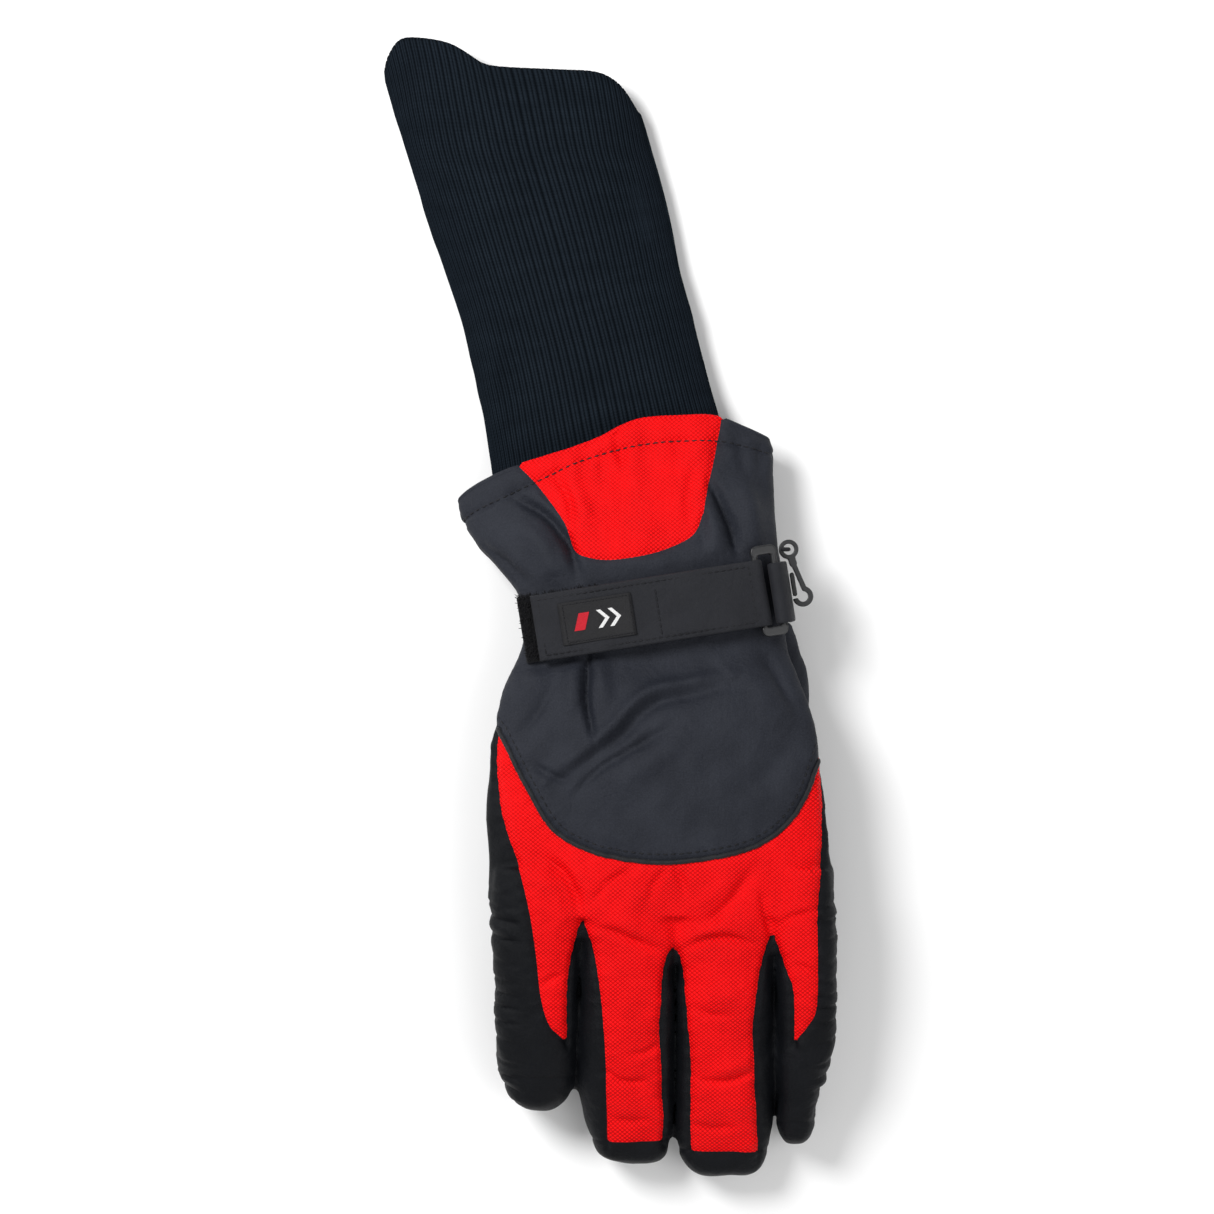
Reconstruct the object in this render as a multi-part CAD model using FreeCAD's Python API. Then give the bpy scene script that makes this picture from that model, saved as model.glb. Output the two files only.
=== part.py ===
"""Right-hand ski glove with a long knit sleeve, lying palm down, in millimetres.

The origin is on the resting surface, under the middle of the glove. +Y runs from the
fingertips to the sleeve's mouth, +X towards the thumb and index finger, and +Z out of
the back of the hand. The thumb is folded under the palm.
"""
import FreeCAD
import Part
import math
import os
from FreeCAD import Vector

# Layers of the glove, from the outside in.
SHELL = 1.5
LAYER_GAP = 0.2
LINER = 3.0
CUFF_LINING = 1.2
ELASTIC = 0.9
LINING_GAP = 0.5
PATCH = 1.2
HEM = 2.2
HEM_WIDTH = 9.0
KNIT = 2.2
SEAM_GAP = 0.3

# Cross-sections are rounded boxes (superellipses).
ROUNDNESS = 2.6
SECTION_STEPS = 8
CUTTER_LOW, CUTTER_HIGH = -10.0, 90.0
FAR = 300.0
SMALLEST_SOLID = 1.0

# Parts of a cross-section, in degrees from its +X edge towards +Z.
UPPER, LOWER = (0.0, 180.0), (180.0, 360.0)
PIPING_SPAN = (14.0, 166.0)
PATCH_SPAN = (182.0, 358.0)
ELASTIC_SPAN = (195.0, 345.0)
THUMB_WIPE_SPAN, THUMB_GRIP_SPAN = (210.0, 330.0), (30.0, 150.0)
THUMB_GUSSET_SPANS = ((150.0, 210.0), (-30.0, 30.0))

# A station is one cross-section: its left and right edge in plan, then low and high Z.
WRIST = ((-31.2, -6.0), (67.2, -6.0), 14.0, 38.8)
HAND = (
    WRIST,
    ((-35.5, -21.5), (70.5, -21.5), 17.0, 38.8),
    ((-40.2, -34.0), (74.6, -34.0), 20.5, 44.0),
    ((-44.0, -50.0), (78.3, -50.0), 23.0, 48.5),
    ((-45.5, -67.0), (80.6, -67.0), 23.0, 50.5),
    ((-45.3, -91.0), (83.0, -91.0), 23.0, 50.0),
    ((-44.8, -111.7), (85.6, -111.7), 23.0, 47.4),
    ((-44.0, -121.7), (86.0, -121.7), 22.4, 46.0),
)
CUFF = (
    WRIST,
    ((-35.5, 5.0), (66.0, 9.0), 11.0, 38.8),
    ((-41.0, 13.0), (64.6, 22.0), 7.5, 38.0),
    ((-50.5, 24.0), (63.8, 37.0), 3.0, 35.0),
    ((-55.5, 33.0), (63.0, 52.0), 0.6, 31.0),
    ((-58.5, 50.0), (62.0, 78.0), 0.0, 27.0),
)
HEM_EDGE = ((-58.5, 39.5), (-34.4, 53.7), (4.5, 65.6), (34.4, 72.6), (63.5, 64.4))
INSERT_EDGE = ((-35.5, 56.0), (-15.5, 29.0), (-11.0, 20.0), (10.0, 17.6), (29.1, 22.6),
               (35.3, 31.0), (42.5, 76.0))
BACK_SEAM = ((-46.5, -38.0), (-41.4, -46.3), (-33.2, -61.9), (-20.9, -82.8), (3.7, -93.9),
             (34.4, -94.3), (65.2, -82.8), (77.9, -59.5), (84.0, -46.0))
KNUCKLE_LEFT = ((-41.8, -40.0), (-41.8, -60.7), (-39.4, -79.1), (-33.2, -97.6), (-29.5, -122.0),
                (-24.6, -153.0), (-14.0, -167.0))
KNUCKLE_RIGHT = ((80.0, -40.0), (80.0, -79.1), (79.1, -103.7), (80.0, -128.3), (78.5, -150.0),
                 (68.0, -167.0))
PIPING = 1.6
PIPING_PROUD = 0.9
GRIP_PATCH = ((-43.0, -88.2), (-37.7, -28.5), (19.7, -32.0), (9.5, -106.5))

# Fingers: plan edges at the knuckle, at the middle and at the start of the tip, then the tip.
KNUCKLE_Y = -122.0
FINGER_ROWS = (KNUCKLE_Y, -140.0, -160.0, -182.0)
FINGER_LOW = (22.2, 19.0, 15.0, 9.0)
FINGER_HIGH = (45.6, 42.6, 38.0, 31.5)
TIP_LOW, TIP_HIGH = (3.2, 0.0), (25.0, 17.0)
PINKY_TIP_HEIGHTS = (8.4, 30.8)
FINGERS = {
    "pinky": {"left": (-43.8, -43.4, -42.8, -40.4), "right": (-10.5, -11.0, -11.8, -13.0),
              "tip_y": (-184.0, -192.6), "tip": ((-39.2, -13.4), (-33.5, -17.5))},
    "ring": {"left": (-9.9, -10.4, -11.2, -11.8), "right": (24.6, 25.0, 25.2, 25.0),
             "tip_y": (-203.0, -213.2), "tip": ((-7.2, 24.2), (-2.5, 20.5))},
    "middle": {"left": (25.2, 25.6, 25.8, 25.8), "right": (62.0, 62.3, 62.8, 63.2),
               "tip_y": (-207.0, -218.4), "tip": ((26.8, 62.2), (31.5, 58.0))},
    "index": {"left": (62.6, 62.9, 63.4, 64.0), "right": (86.0, 86.4, 86.6, 83.2),
              "tip_y": (-196.0, -206.2), "tip": ((65.0, 79.4), (66.5, 75.0))},
}
BACK_SPAN = (38.0, 142.0)
PALM_SPAN = (218.0, 322.0)

# Thumb: distances from its hinge, with half widths and heights, pointing at the fingertips.
THUMB_HINGE = (58.0, -58.0)
THUMB_AIM = -108.2
THUMB_STATIONS = ((-17.0, 8.5, 2.6, 19.0), (-10.0, 16.2, 0.8, 21.0), (0.0, 19.0, 0.0, 21.2),
                  (30.0, 18.4, 0.0, 21.0), (58.0, 17.0, 0.0, 18.5), (84.0, 13.6, 0.0, 15.0),
                  (97.0, 8.0, 1.6, 12.0), (101.0, 3.0, 4.0, 9.6))
THUMB_ROOT = (((30.0, -13.0), (72.0, -13.0), 11.0, 15.5), ((23.0, -25.0), (77.0, -25.0), 4.5, 17.0),
              ((22.0, -36.4), (78.5, -36.4), 1.0, 20.0))

# Knit sleeve: the part sewn in at the wrist, and the part beyond the hem.
KNIT_ROOT = (((-25.0, -1.0), (60.0, 3.0), 18.9, 34.0), ((-38.0, 27.0), (53.0, 39.0), 8.4, 25.5),
             ((-46.6, 51.9), (41.4, 73.9), 3.0, 17.0))
KNIT_SLEEVE = (((-47.6, 56.6), (40.2, 78.6), 2.8, 17.0), ((-52.1, 87.0), (32.6, 103.0), 0.0, 15.0),
               ((-57.8, 109.1), (27.2, 128.0), 0.0, 14.4), ((-70.9, 152.9), (19.4, 170.0), 0.0, 14.4),
               ((-87.6, 218.6), (7.6, 202.5), 0.0, 14.4))

# Wrist strap: an arch over the wrist, in its own upright plane turned about Z.
STRAP_MIDDLE = (18.0, -1.0)
STRAP_TURN = 9.0
STRAP_WIDTH = 25.0
STRAP_BOTTOM = 39.5
ARCH_RADIUS = 260.0
WEBBING = 1.4
PILE = 1.4
TAB_START, TAB_END = -45.0, 39.2
BASE_START, BASE_END = -49.0, 35.2
PILE_START, HOOK_TAPE_END = -47.5, 2.0
LABEL_SPAN = (-35.5, -8.5)
LABEL_WIDTH = 16.0
LABEL = 0.6
TAB_HEIGHT = 4.85
HOOK_TAPE = 1.4

# Rectangular ring that the strap runs through.
RING_LENGTH, RING_WIDTH, RING_END = 34.4, 10.0, 3.6
BAR_RADIUS = 1.3
RING_HEIGHT = 3.4
RING_ALONG = 42.4
RING_SHIFT = 0.5
WRAP_GAP = 0.15
ANCHOR_PATH = ((48.3, 1.6), (49.9, -0.6), (50.9, -6.5), (50.8, -14.0), (47.8, -21.5), (41.0, -27.0))
ANCHOR_WIDTH, ANCHOR_SHIFT = 23.0, -1.0

# Snap hook, flat beside the wrist, hanging on a small loop.
EYE = (68.2, 21.8)
HOOK_LOW, HOOK_HIGH = 30.2, 32.8
EYE_OUTER, EYE_HOLE = 3.7, 2.1
SHOULDER = (69.9, 16.5)
BEND = (73.6, 4.0)
BEND_OUTER, BEND_STOCK = 3.9, 1.9
BEND_START, BEND_END = 80.0, -165.0
GATE_PIVOT = (69.4, 12.2)
GATE_TIP = (70.6, 4.9)
GATE_WIDTH = 1.7
LOOP_RADIUS, LOOP_STOCK = 3.0, 0.8
SIDE_SEAM_X = 64.9


def line(a, b):
    return Part.LineSegment(a, b).toShape()


def curve(points):
    spline = Part.BSplineCurve()
    spline.interpolate(points)
    return spline.toShape()


def flat(point, z=0.0):
    return Vector(point[0], point[1], z)


def section_point(station, inset, degrees):
    left, right, low, high = station
    across = flat(right) - flat(left)
    half_width = across.Length / 2 - inset
    half_height = (high - low) / 2 - inset
    across.normalize()
    cosine, sine = math.cos(math.radians(degrees)), math.sin(math.radians(degrees))
    aside = math.copysign(abs(cosine) ** (2 / ROUNDNESS), cosine) * half_width
    up = math.copysign(abs(sine) ** (2 / ROUNDNESS), sine) * half_height
    return (flat(left) + flat(right)) / 2 + across * aside + Vector(0, 0, (low + high) / 2 + up)


def arc_points(station, inset, span):
    turn = (span[1] - span[0]) / SECTION_STEPS
    return [section_point(station, inset, span[0] + turn * i) for i in range(SECTION_STEPS + 1)]


def wall(stations, span, outer, inner):
    """A curved wall between two insets, over part of each cross-section."""
    wires = []
    for station in stations:
        out = arc_points(station, outer, span)
        back = arc_points(station, inner, span)[::-1]
        wires.append(Part.Wire([curve(out), line(out[-1], back[0]), curve(back),
                                line(back[-1], out[0])]))
    return Part.makeLoft(wires, True, True)


def filled(stations, inset):
    """The whole inside of the cross-sections at one inset."""
    wires = []
    for station in stations:
        upper, lower = (arc_points(station, inset, span) for span in (UPPER, LOWER))
        upper[-1] = lower[0]
        lower[-1] = upper[0]
        wires.append(Part.Wire([curve(upper), curve(lower)]))
    return Part.makeLoft(wires, True, True)


def tube(stations, outer, inner, closed_stations=0):
    """A tube; its last stations stay solid where it is closed."""
    kept = stations[:len(stations) - closed_stations]
    return filled(stations, outer).cut(filled(kept, inner))


def region(seam, corners):
    """Everything on one side of a seam: the seam's curve closed through far corners."""
    points = [flat(p, CUTTER_LOW) for p in seam]
    ring = [points[-1]] + [flat(p, CUTTER_LOW) for p in corners] + [points[0]]
    edges = [curve(points)] + [line(a, b) for a, b in zip(ring, ring[1:])]
    return Part.Face(Part.Wire(edges)).extrude(Vector(0, 0, CUTTER_HIGH - CUTTER_LOW))


def moved_seam(seam, distance):
    """The seam's points moved square to it, to its right."""
    moved = []
    for i, point in enumerate(seam):
        ahead, behind = seam[min(i + 1, len(seam) - 1)], seam[max(i - 1, 0)]
        run = flat(ahead) - flat(behind)
        run.normalize()
        moved.append((point[0] + run.y * distance, point[1] - run.x * distance))
    return moved


def pinky_side_of(x):
    """Everything on the pinky's side of a plane."""
    return Part.makeBox(2 * FAR, 2 * FAR, 2 * FAR, Vector(x - 2 * FAR, -FAR, -FAR))


def solids_of(shape):
    solids = [s for s in shape.Solids if s.Volume > SMALLEST_SOLID]
    return solids[0] if len(solids) == 1 else Part.makeCompound(solids)


def hand_parts():
    far_up = ((FAR, FAR), (-FAR, FAR))
    above_seam = region(BACK_SEAM, far_up)
    above_piping = region(moved_seam(BACK_SEAM, PIPING), far_up)
    knuckles = region(KNUCKLE_LEFT, [KNUCKLE_RIGHT[-1]] + list(KNUCKLE_RIGHT[::-1][1:]))
    upper = wall(HAND, UPPER, 0.0, SHELL)
    proud = wall(HAND, PIPING_SPAN, -PIPING_PROUD, SHELL - LAYER_GAP)
    rest = upper.cut(above_piping)
    sides = rest.cut(knuckles)
    pinky_half = pinky_side_of((HAND[-1][0][0] + HAND[-1][1][0]) / 2)
    patch = region(GRIP_PATCH[:2], GRIP_PATCH[2:])
    return {
        "back_panel": upper.common(above_seam),
        "back_piping": proud.common(above_piping.cut(above_seam)),
        "knuckle_panel": rest.common(knuckles),
        "pinky_side_panel": sides.common(pinky_half),
        "index_side_panel": sides.cut(pinky_half),
        "palm_panel": wall(HAND, LOWER, 0.0, SHELL),
        "palm_grip_patch": wall(HAND, PATCH_SPAN, -PATCH, -LAYER_GAP).common(patch),
        "hand_liner": tube(HAND, SHELL + LAYER_GAP, SHELL + LAYER_GAP + LINER),
        "thumb_root_panel": filled(THUMB_ROOT, 0.0),
    }


def cuff_parts():
    below = ((FAR, -FAR), (-FAR, -FAR))
    inside_hem = region(HEM_EDGE, below)
    inside_band = region(moved_seam(HEM_EDGE, HEM_WIDTH), below)
    insert = region(INSERT_EDGE, ((INSERT_EDGE[-1][0], FAR), (INSERT_EDGE[0][0], FAR)))
    back = wall(CUFF, UPPER, 0.0, SHELL).common(inside_band)
    palm = wall(CUFF, LOWER, 0.0, SHELL).common(inside_band)
    band = inside_hem.cut(inside_band)
    pinky_half = pinky_side_of((INSERT_EDGE[0][0] + INSERT_EDGE[-1][0]) / 2)
    sides = back.cut(insert)
    elastic_in = SHELL + LAYER_GAP + ELASTIC
    lining_out = elastic_in + LINING_GAP
    return {
        "cuff_insert": back.common(insert),
        "cuff_back_left": sides.common(pinky_half),
        "cuff_back_right": sides.cut(pinky_half),
        "cuff_palm_panel": palm,
        "hem_back": wall(CUFF, UPPER, 0.0, HEM).common(band),
        "hem_palm": wall(CUFF, LOWER, 0.0, HEM).common(band),
        "wrist_elastic": wall(CUFF[:3], ELASTIC_SPAN, SHELL + LAYER_GAP, elastic_in),
        "cuff_lining": tube(CUFF[:4], lining_out, lining_out + CUFF_LINING),
        "knit_root": tube(KNIT_ROOT, 0.0, KNIT),
    }


def finger_stations(finger):
    rows = zip(FINGER_ROWS, finger["left"], finger["right"], FINGER_LOW, FINGER_HIGH)
    return [((left, y), (right, y), low, high) for y, left, right, low, high in rows]


def tip_stations(finger):
    rows = zip(finger["tip_y"], finger["tip"], TIP_LOW, TIP_HIGH)
    return [((edges[0], y), (edges[1], y), low, high) for y, edges, low, high in rows]


def finger_parts(name, finger):
    shaft = finger_stations(finger)
    tip = tip_stations(finger)
    if name == "pinky":
        tip[0] = tip[0][:2] + PINKY_TIP_HEIGHTS
    shaft.append(tip[0])
    gussets = [wall(shaft, span, 0.0, SHELL)
               for span in ((BACK_SPAN[1], PALM_SPAN[0]), (PALM_SPAN[1] - 360.0, BACK_SPAN[0]))]
    liner_out = SHELL + LAYER_GAP
    return {
        name + "_back": wall(shaft, BACK_SPAN, 0.0, SHELL),
        name + "_palm": wall(shaft, PALM_SPAN, 0.0, SHELL),
        name + "_gussets": Part.makeCompound(gussets),
        name + "_tip_cap": filled(tip, 0.0),
        name + "_liner": tube(shaft, liner_out, liner_out + LINER, 1),
    }


def split_outer_panel(parts, name):
    """The red knuckle fabric runs on to the finger; the outer side is a black panel."""
    knuckles = region(KNUCKLE_LEFT, [KNUCKLE_RIGHT[-1]] + list(KNUCKLE_RIGHT[::-1][1:]))
    back = parts[name + "_back"]
    parts[name + "_outer_panel"] = back.cut(knuckles)
    parts[name + "_back"] = back.common(knuckles)


def thumb_parts():
    aim = math.radians(THUMB_AIM)
    along = Vector(math.cos(aim), math.sin(aim), 0)
    aside = Vector(-math.sin(aim), math.cos(aim), 0)
    stations = []
    for distance, half, low, high in THUMB_STATIONS:
        centre = flat(THUMB_HINGE) + along * distance
        left, right = centre - aside * half, centre + aside * half
        stations.append(((left.x, left.y), (right.x, right.y), low, high))
    gussets = [wall(stations, span, 0.0, SHELL) for span in THUMB_GUSSET_SPANS]
    liner_out = SHELL + LAYER_GAP
    inner = stations[2:6]
    return {
        "thumb_wipe_panel": wall(stations, THUMB_WIPE_SPAN, 0.0, SHELL),
        "thumb_grip_panel": wall(stations, THUMB_GRIP_SPAN, 0.0, SHELL),
        "thumb_gussets": Part.makeCompound(gussets),
        "thumb_liner": tube(inner, liner_out, liner_out + LINER, 1),
    }


def strap_frame():
    """Place of the strap's plane: its X runs along the strap, its Y across, its Z up."""
    turn = FreeCAD.Rotation(Vector(0, 0, 1), STRAP_TURN)
    return FreeCAD.Placement(flat(STRAP_MIDDLE), turn)


def arch_band(low, high, start, end, width):
    """A band that follows the wrist's arch, between two heights above it."""
    centre = Vector(0, 0, STRAP_BOTTOM - ARCH_RADIUS)

    def arch(height, first, last):
        radius = ARCH_RADIUS + height
        points = []
        for along in (first, (first + last) / 2, last):
            angle = math.asin(along / ARCH_RADIUS)
            points.append(centre + Vector(math.sin(angle) * radius, 0, math.cos(angle) * radius))
        return points

    upper, lower = arch(high, start, end), arch(low, end, start)
    edges = [Part.Arc(*upper).toShape(), line(upper[-1], lower[0]), Part.Arc(*lower).toShape(),
             line(lower[-1], upper[0])]
    face = Part.Face(Part.Wire(edges))
    face.translate(Vector(0, -width / 2, 0))
    return face.extrude(Vector(0, width, 0))


def ring_frame():
    """Centre and tilt of the ring, in the strap's frame."""
    angle = math.asin(RING_ALONG / ARCH_RADIUS)
    radius = ARCH_RADIUS + RING_HEIGHT
    centre = Vector(math.sin(angle) * radius, RING_SHIFT,
                    STRAP_BOTTOM - ARCH_RADIUS + math.cos(angle) * radius)
    return FreeCAD.Placement(centre, FreeCAD.Rotation(Vector(0, 1, 0), math.degrees(angle)))


def wrap(radius_in, radius_out, width, start, end):
    """Webbing bent round a bar that lies along Y, between two angles from +X towards +Z."""
    ring = Part.makeCylinder(radius_out, width, Vector(0, -width / 2, 0), Vector(0, 1, 0))
    ring = ring.cut(Part.makeCylinder(radius_in, width, Vector(0, -width / 2, 0), Vector(0, 1, 0)))
    reach = 3 * radius_out
    steps = [start + (end - start) * i / 4 for i in range(5)]
    corners = [Vector(0, -width, 0)] + [Vector(reach * math.cos(math.radians(a)), -width,
                                               reach * math.sin(math.radians(a))) for a in steps]
    sector = Part.Face(Part.makePolygon(corners + corners[:1])).extrude(Vector(0, 2 * width, 0))
    return ring.common(sector)


def strap_parts():
    frame = strap_frame()
    ring_place = ring_frame()
    bar_along = RING_WIDTH / 2 - BAR_RADIUS
    wrap_in = BAR_RADIUS + WRAP_GAP
    wrap_out = wrap_in + WEBBING

    bar_length = RING_LENGTH - RING_END
    bars = [Part.makeCylinder(BAR_RADIUS, bar_length, Vector(x, -bar_length / 2, 0), Vector(0, 1, 0))
            for x in (-bar_along, bar_along)]
    ends = []
    for side in (-1, 1):
        low_y = side * RING_LENGTH / 2 - (RING_END if side > 0 else 0)
        end = Part.makeBox(RING_WIDTH, RING_END, 2 * BAR_RADIUS,
                           Vector(-RING_WIDTH / 2, low_y, -BAR_RADIUS))
        upright = [e for e in end.Edges
                   if abs(e.Vertexes[0].Point.z - e.Vertexes[1].Point.z) > BAR_RADIUS
                   and side * e.Vertexes[0].Y > RING_LENGTH / 2 - RING_END / 2]
        ends.append(end.makeFillet(RING_END * 0.7, upright))
    ring = bars[0].multiFuse([bars[1]] + ends).removeSplitter()
    ring.Placement = ring_place.multiply(ring.Placement)

    tab_wrap = wrap(wrap_in, wrap_out, STRAP_WIDTH, -90.0, 90.0)
    tab_wrap.translate(Vector(-bar_along, 0, 0))
    tab_wrap.Placement = ring_place.multiply(tab_wrap.Placement)
    tab_wrap.translate(Vector(0, -RING_SHIFT, 0))
    tab = arch_band(TAB_HEIGHT, TAB_HEIGHT + WEBBING, TAB_START, TAB_END, STRAP_WIDTH)
    tab = tab.fuse(tab_wrap).removeSplitter()

    anchor = wrap(wrap_in, wrap_out, ANCHOR_WIDTH, 90.0, 270.0)
    anchor.translate(Vector(bar_along, 0, 0))
    anchor.Placement = ring_place.multiply(anchor.Placement)
    anchor.translate(Vector(0, ANCHOR_SHIFT - RING_SHIFT, 0))
    bar = ring_place.multVec(Vector(bar_along, 0, 0))
    top = ring_place.multVec(Vector(bar_along, 0, (wrap_in + wrap_out) / 2))
    path = [top] + [Vector(x, 0, bar.z + z) for x, z in ANCHOR_PATH]
    outer, inner = [], []
    for i, point in enumerate(path):
        run = path[min(i + 1, len(path) - 1)] - path[max(i - 1, 0)]
        run.normalize()
        square = Vector(-run.z, 0, run.x) * (WEBBING / 2)
        outer.append(Vector(point.x + square.x, 0, point.z + square.z))
        inner.append(Vector(point.x - square.x, 0, point.z - square.z))
    inner.reverse()
    edges = [curve(outer), line(outer[-1], inner[0]), curve(inner), line(inner[-1], outer[0])]
    run_down = Part.Face(Part.Wire(edges))
    run_down.translate(Vector(0, ANCHOR_SHIFT - ANCHOR_WIDTH / 2, 0))
    anchor = anchor.fuse(run_down.extrude(Vector(0, ANCHOR_WIDTH, 0))).removeSplitter()

    label = arch_band(TAB_HEIGHT + WEBBING, TAB_HEIGHT + WEBBING + LABEL, *LABEL_SPAN, LABEL_WIDTH)
    parts = {
        "strap_base": arch_band(0.2, 0.2 + WEBBING, BASE_START, BASE_END, STRAP_WIDTH),
        "strap_pile_tape": arch_band(0.2 + WEBBING, 0.2 + WEBBING + PILE, PILE_START, BASE_END,
                                     STRAP_WIDTH - 1.0),
        "strap_ring": ring,
        "strap_tab": tab,
        "strap_hook_tape": arch_band(TAB_HEIGHT - HOOK_TAPE, TAB_HEIGHT, TAB_START + 2.0, HOOK_TAPE_END,
                                     STRAP_WIDTH - 2.0),
        "strap_label": label,
        "anchor_webbing": anchor,
    }
    for shape in parts.values():
        shape.Placement = frame.multiply(shape.Placement)
    return parts


def flat_bar(start, end, width, low, high):
    """A flat bar with round ends."""
    run = flat(end, low) - flat(start, low)
    turn = math.degrees(math.atan2(run.y, run.x))
    body = Part.makeBox(run.Length, width, high - low, Vector(0, -width / 2, 0))
    body.Placement = FreeCAD.Placement(flat(start, low), FreeCAD.Rotation(Vector(0, 0, 1), turn))
    caps = [Part.makeCylinder(width / 2, high - low, flat(p, low)) for p in (start, end)]
    return body.multiFuse(caps).removeSplitter()


def clip_parts():
    depth = HOOK_HIGH - HOOK_LOW
    eye = Part.makeCylinder(EYE_OUTER, depth, flat(EYE, HOOK_LOW))
    bend_middle = BEND_OUTER - BEND_STOCK / 2
    start = math.radians(BEND_START)
    bend_top = (BEND[0] + bend_middle * math.cos(start), BEND[1] + bend_middle * math.sin(start))
    bend = Part.makeCylinder(BEND_OUTER, depth, flat(BEND, HOOK_LOW), Vector(0, 0, 1),
                             BEND_START - BEND_END)
    bend = bend.cut(Part.makeCylinder(BEND_OUTER - BEND_STOCK, depth, flat(BEND, HOOK_LOW)))
    bend.rotate(flat(BEND), Vector(0, 0, 1), BEND_END)
    spine = [flat_bar(EYE, SHOULDER, BEND_STOCK * 1.5, HOOK_LOW, HOOK_HIGH),
             flat_bar(SHOULDER, bend_top, BEND_STOCK, HOOK_LOW, HOOK_HIGH)]
    hook = eye.multiFuse([bend] + spine)
    hook = hook.cut(Part.makeCylinder(EYE_HOLE, depth, flat(EYE, HOOK_LOW))).removeSplitter()
    gate = flat_bar(GATE_PIVOT, GATE_TIP, GATE_WIDTH, HOOK_LOW + 0.2, HOOK_HIGH - 0.2)
    centre = Vector(EYE[0] - LOOP_RADIUS, EYE[1], (HOOK_LOW + HOOK_HIGH) / 2)
    loop = Part.makeTorus(LOOP_RADIUS, LOOP_STOCK, centre, Vector(0, 1, 0))
    outside = Part.makeBox(20, 20, 20, Vector(SIDE_SEAM_X, EYE[1] - 10, HOOK_LOW - 10))
    return {"snap_hook": hook, "snap_gate": gate, "clip_loop": loop.common(outside)}


def build():
    parts = {}
    parts.update(hand_parts())
    parts.update(cuff_parts())
    for name, finger in FINGERS.items():
        parts.update(finger_parts(name, finger))
    for name in ("pinky", "index"):
        split_outer_panel(parts, name)
    parts.update(thumb_parts())
    parts.update(strap_parts())
    parts.update(clip_parts())
    parts["knit_sleeve"] = tube(KNIT_SLEEVE, 0.0, KNIT)
    return {name: solids_of(shape) for name, shape in parts.items()}


def main():
    os.makedirs("parts", exist_ok=True)
    whole = FreeCAD.BoundBox()
    for name, shape in build().items():
        shape.exportStep("parts/" + name + ".step")
        whole.add(shape.BoundBox)
        print(name, len(shape.Solids), shape.isValid(), round(shape.Volume), "mm3")
    print("box", [round(v, 1) for v in (whole.XMin, whole.YMin, whole.ZMin, whole.XMax, whole.YMax,
                                        whole.ZMax)])


main()
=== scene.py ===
"""Looks of a right-hand ski glove with a long knit sleeve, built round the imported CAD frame.

Lengths in the tables are millimetres in the row's frame: +Y from the fingertips to the
sleeve's mouth, +X towards the thumb, +Z out of the back of the hand.
"""
import bpy
import math
import numpy as np
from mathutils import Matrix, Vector
from mathutils.bvhtree import BVHTree


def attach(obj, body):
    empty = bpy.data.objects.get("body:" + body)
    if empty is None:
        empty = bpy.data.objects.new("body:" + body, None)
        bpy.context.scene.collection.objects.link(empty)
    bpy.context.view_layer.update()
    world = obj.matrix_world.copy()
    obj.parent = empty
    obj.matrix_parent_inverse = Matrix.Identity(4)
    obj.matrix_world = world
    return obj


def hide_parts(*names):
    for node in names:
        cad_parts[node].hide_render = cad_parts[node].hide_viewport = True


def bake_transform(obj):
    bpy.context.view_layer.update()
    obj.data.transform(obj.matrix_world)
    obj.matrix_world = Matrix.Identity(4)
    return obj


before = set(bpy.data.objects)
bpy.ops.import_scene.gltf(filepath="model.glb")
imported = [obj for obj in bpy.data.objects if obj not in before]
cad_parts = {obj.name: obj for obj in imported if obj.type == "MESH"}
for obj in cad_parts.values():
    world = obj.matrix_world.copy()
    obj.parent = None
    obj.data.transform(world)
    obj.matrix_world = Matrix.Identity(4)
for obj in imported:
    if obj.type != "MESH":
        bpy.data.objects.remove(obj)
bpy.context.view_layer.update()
MM = 0.001

# ---------------------------------------------------------------- shapes, in millimetres
VOXEL = 1.1
ROUNDNESS = 2.35  # of a cross-section: 2 is an ellipse, more is squarer
AROUND = 72  # points round a cross-section
STEP = 1.6  # between cross-sections
FLOOR_GAP, THUMB_FLOOR_GAP, KNIT_FLOOR_GAP = 0.2, 0.15, 0.12

# Cross-sections of the hand and cuff: left edge, right edge, low, high.
SHELL = (
    ((-61, 60), (61.5, 88), 0.8, 25), ((-58.6, 42.5), (62.4, 68), 0.6, 27.5),
    ((-56, 33), (63.4, 52), 0.9, 31.5), ((-50.2, 23.5), (64, 37), 3, 35.6),
    ((-41.5, 14), (64.6, 23), 7.5, 38.8), ((-35, 5), (66, 9), 11, 38.6),
    ((-32, -6), (67.2, -6), 14, 38.6), ((-34.8, -19), (69.6, -19), 17, 39),
    ((-40.2, -33), (74.4, -33), 20.5, 44.6), ((-43.9, -49), (78.3, -49), 22.6, 48.8),
    ((-45.2, -67), (80.8, -67), 23, 50.4), ((-45.6, -91), (83.2, -91), 23, 49.6),
    ((-45.2, -108), (85.2, -108), 23, 47.6), ((-44.4, -116), (85.8, -116), 23.4, 46),
)
FINGER_Y = (-98, -112, -122, -140, -160, -182, -200, -218)
FINGER_LOW = (24.5, 23, 22, 19, 15, 8.6, 3.4, 0.4)
FINGER_HIGH = (47.5, 46.6, 45.4, 42.6, 38.2, 31.6, 25.6, 20)
OUTER_LEFT = (-44.2, -44.4, -44.2, -43.6, -42.6, -40.6, -37, -35)
OUTER_RIGHT = (84.6, 85.6, 86, 86.5, 86.8, 83.4, 78.4, 76)
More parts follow.
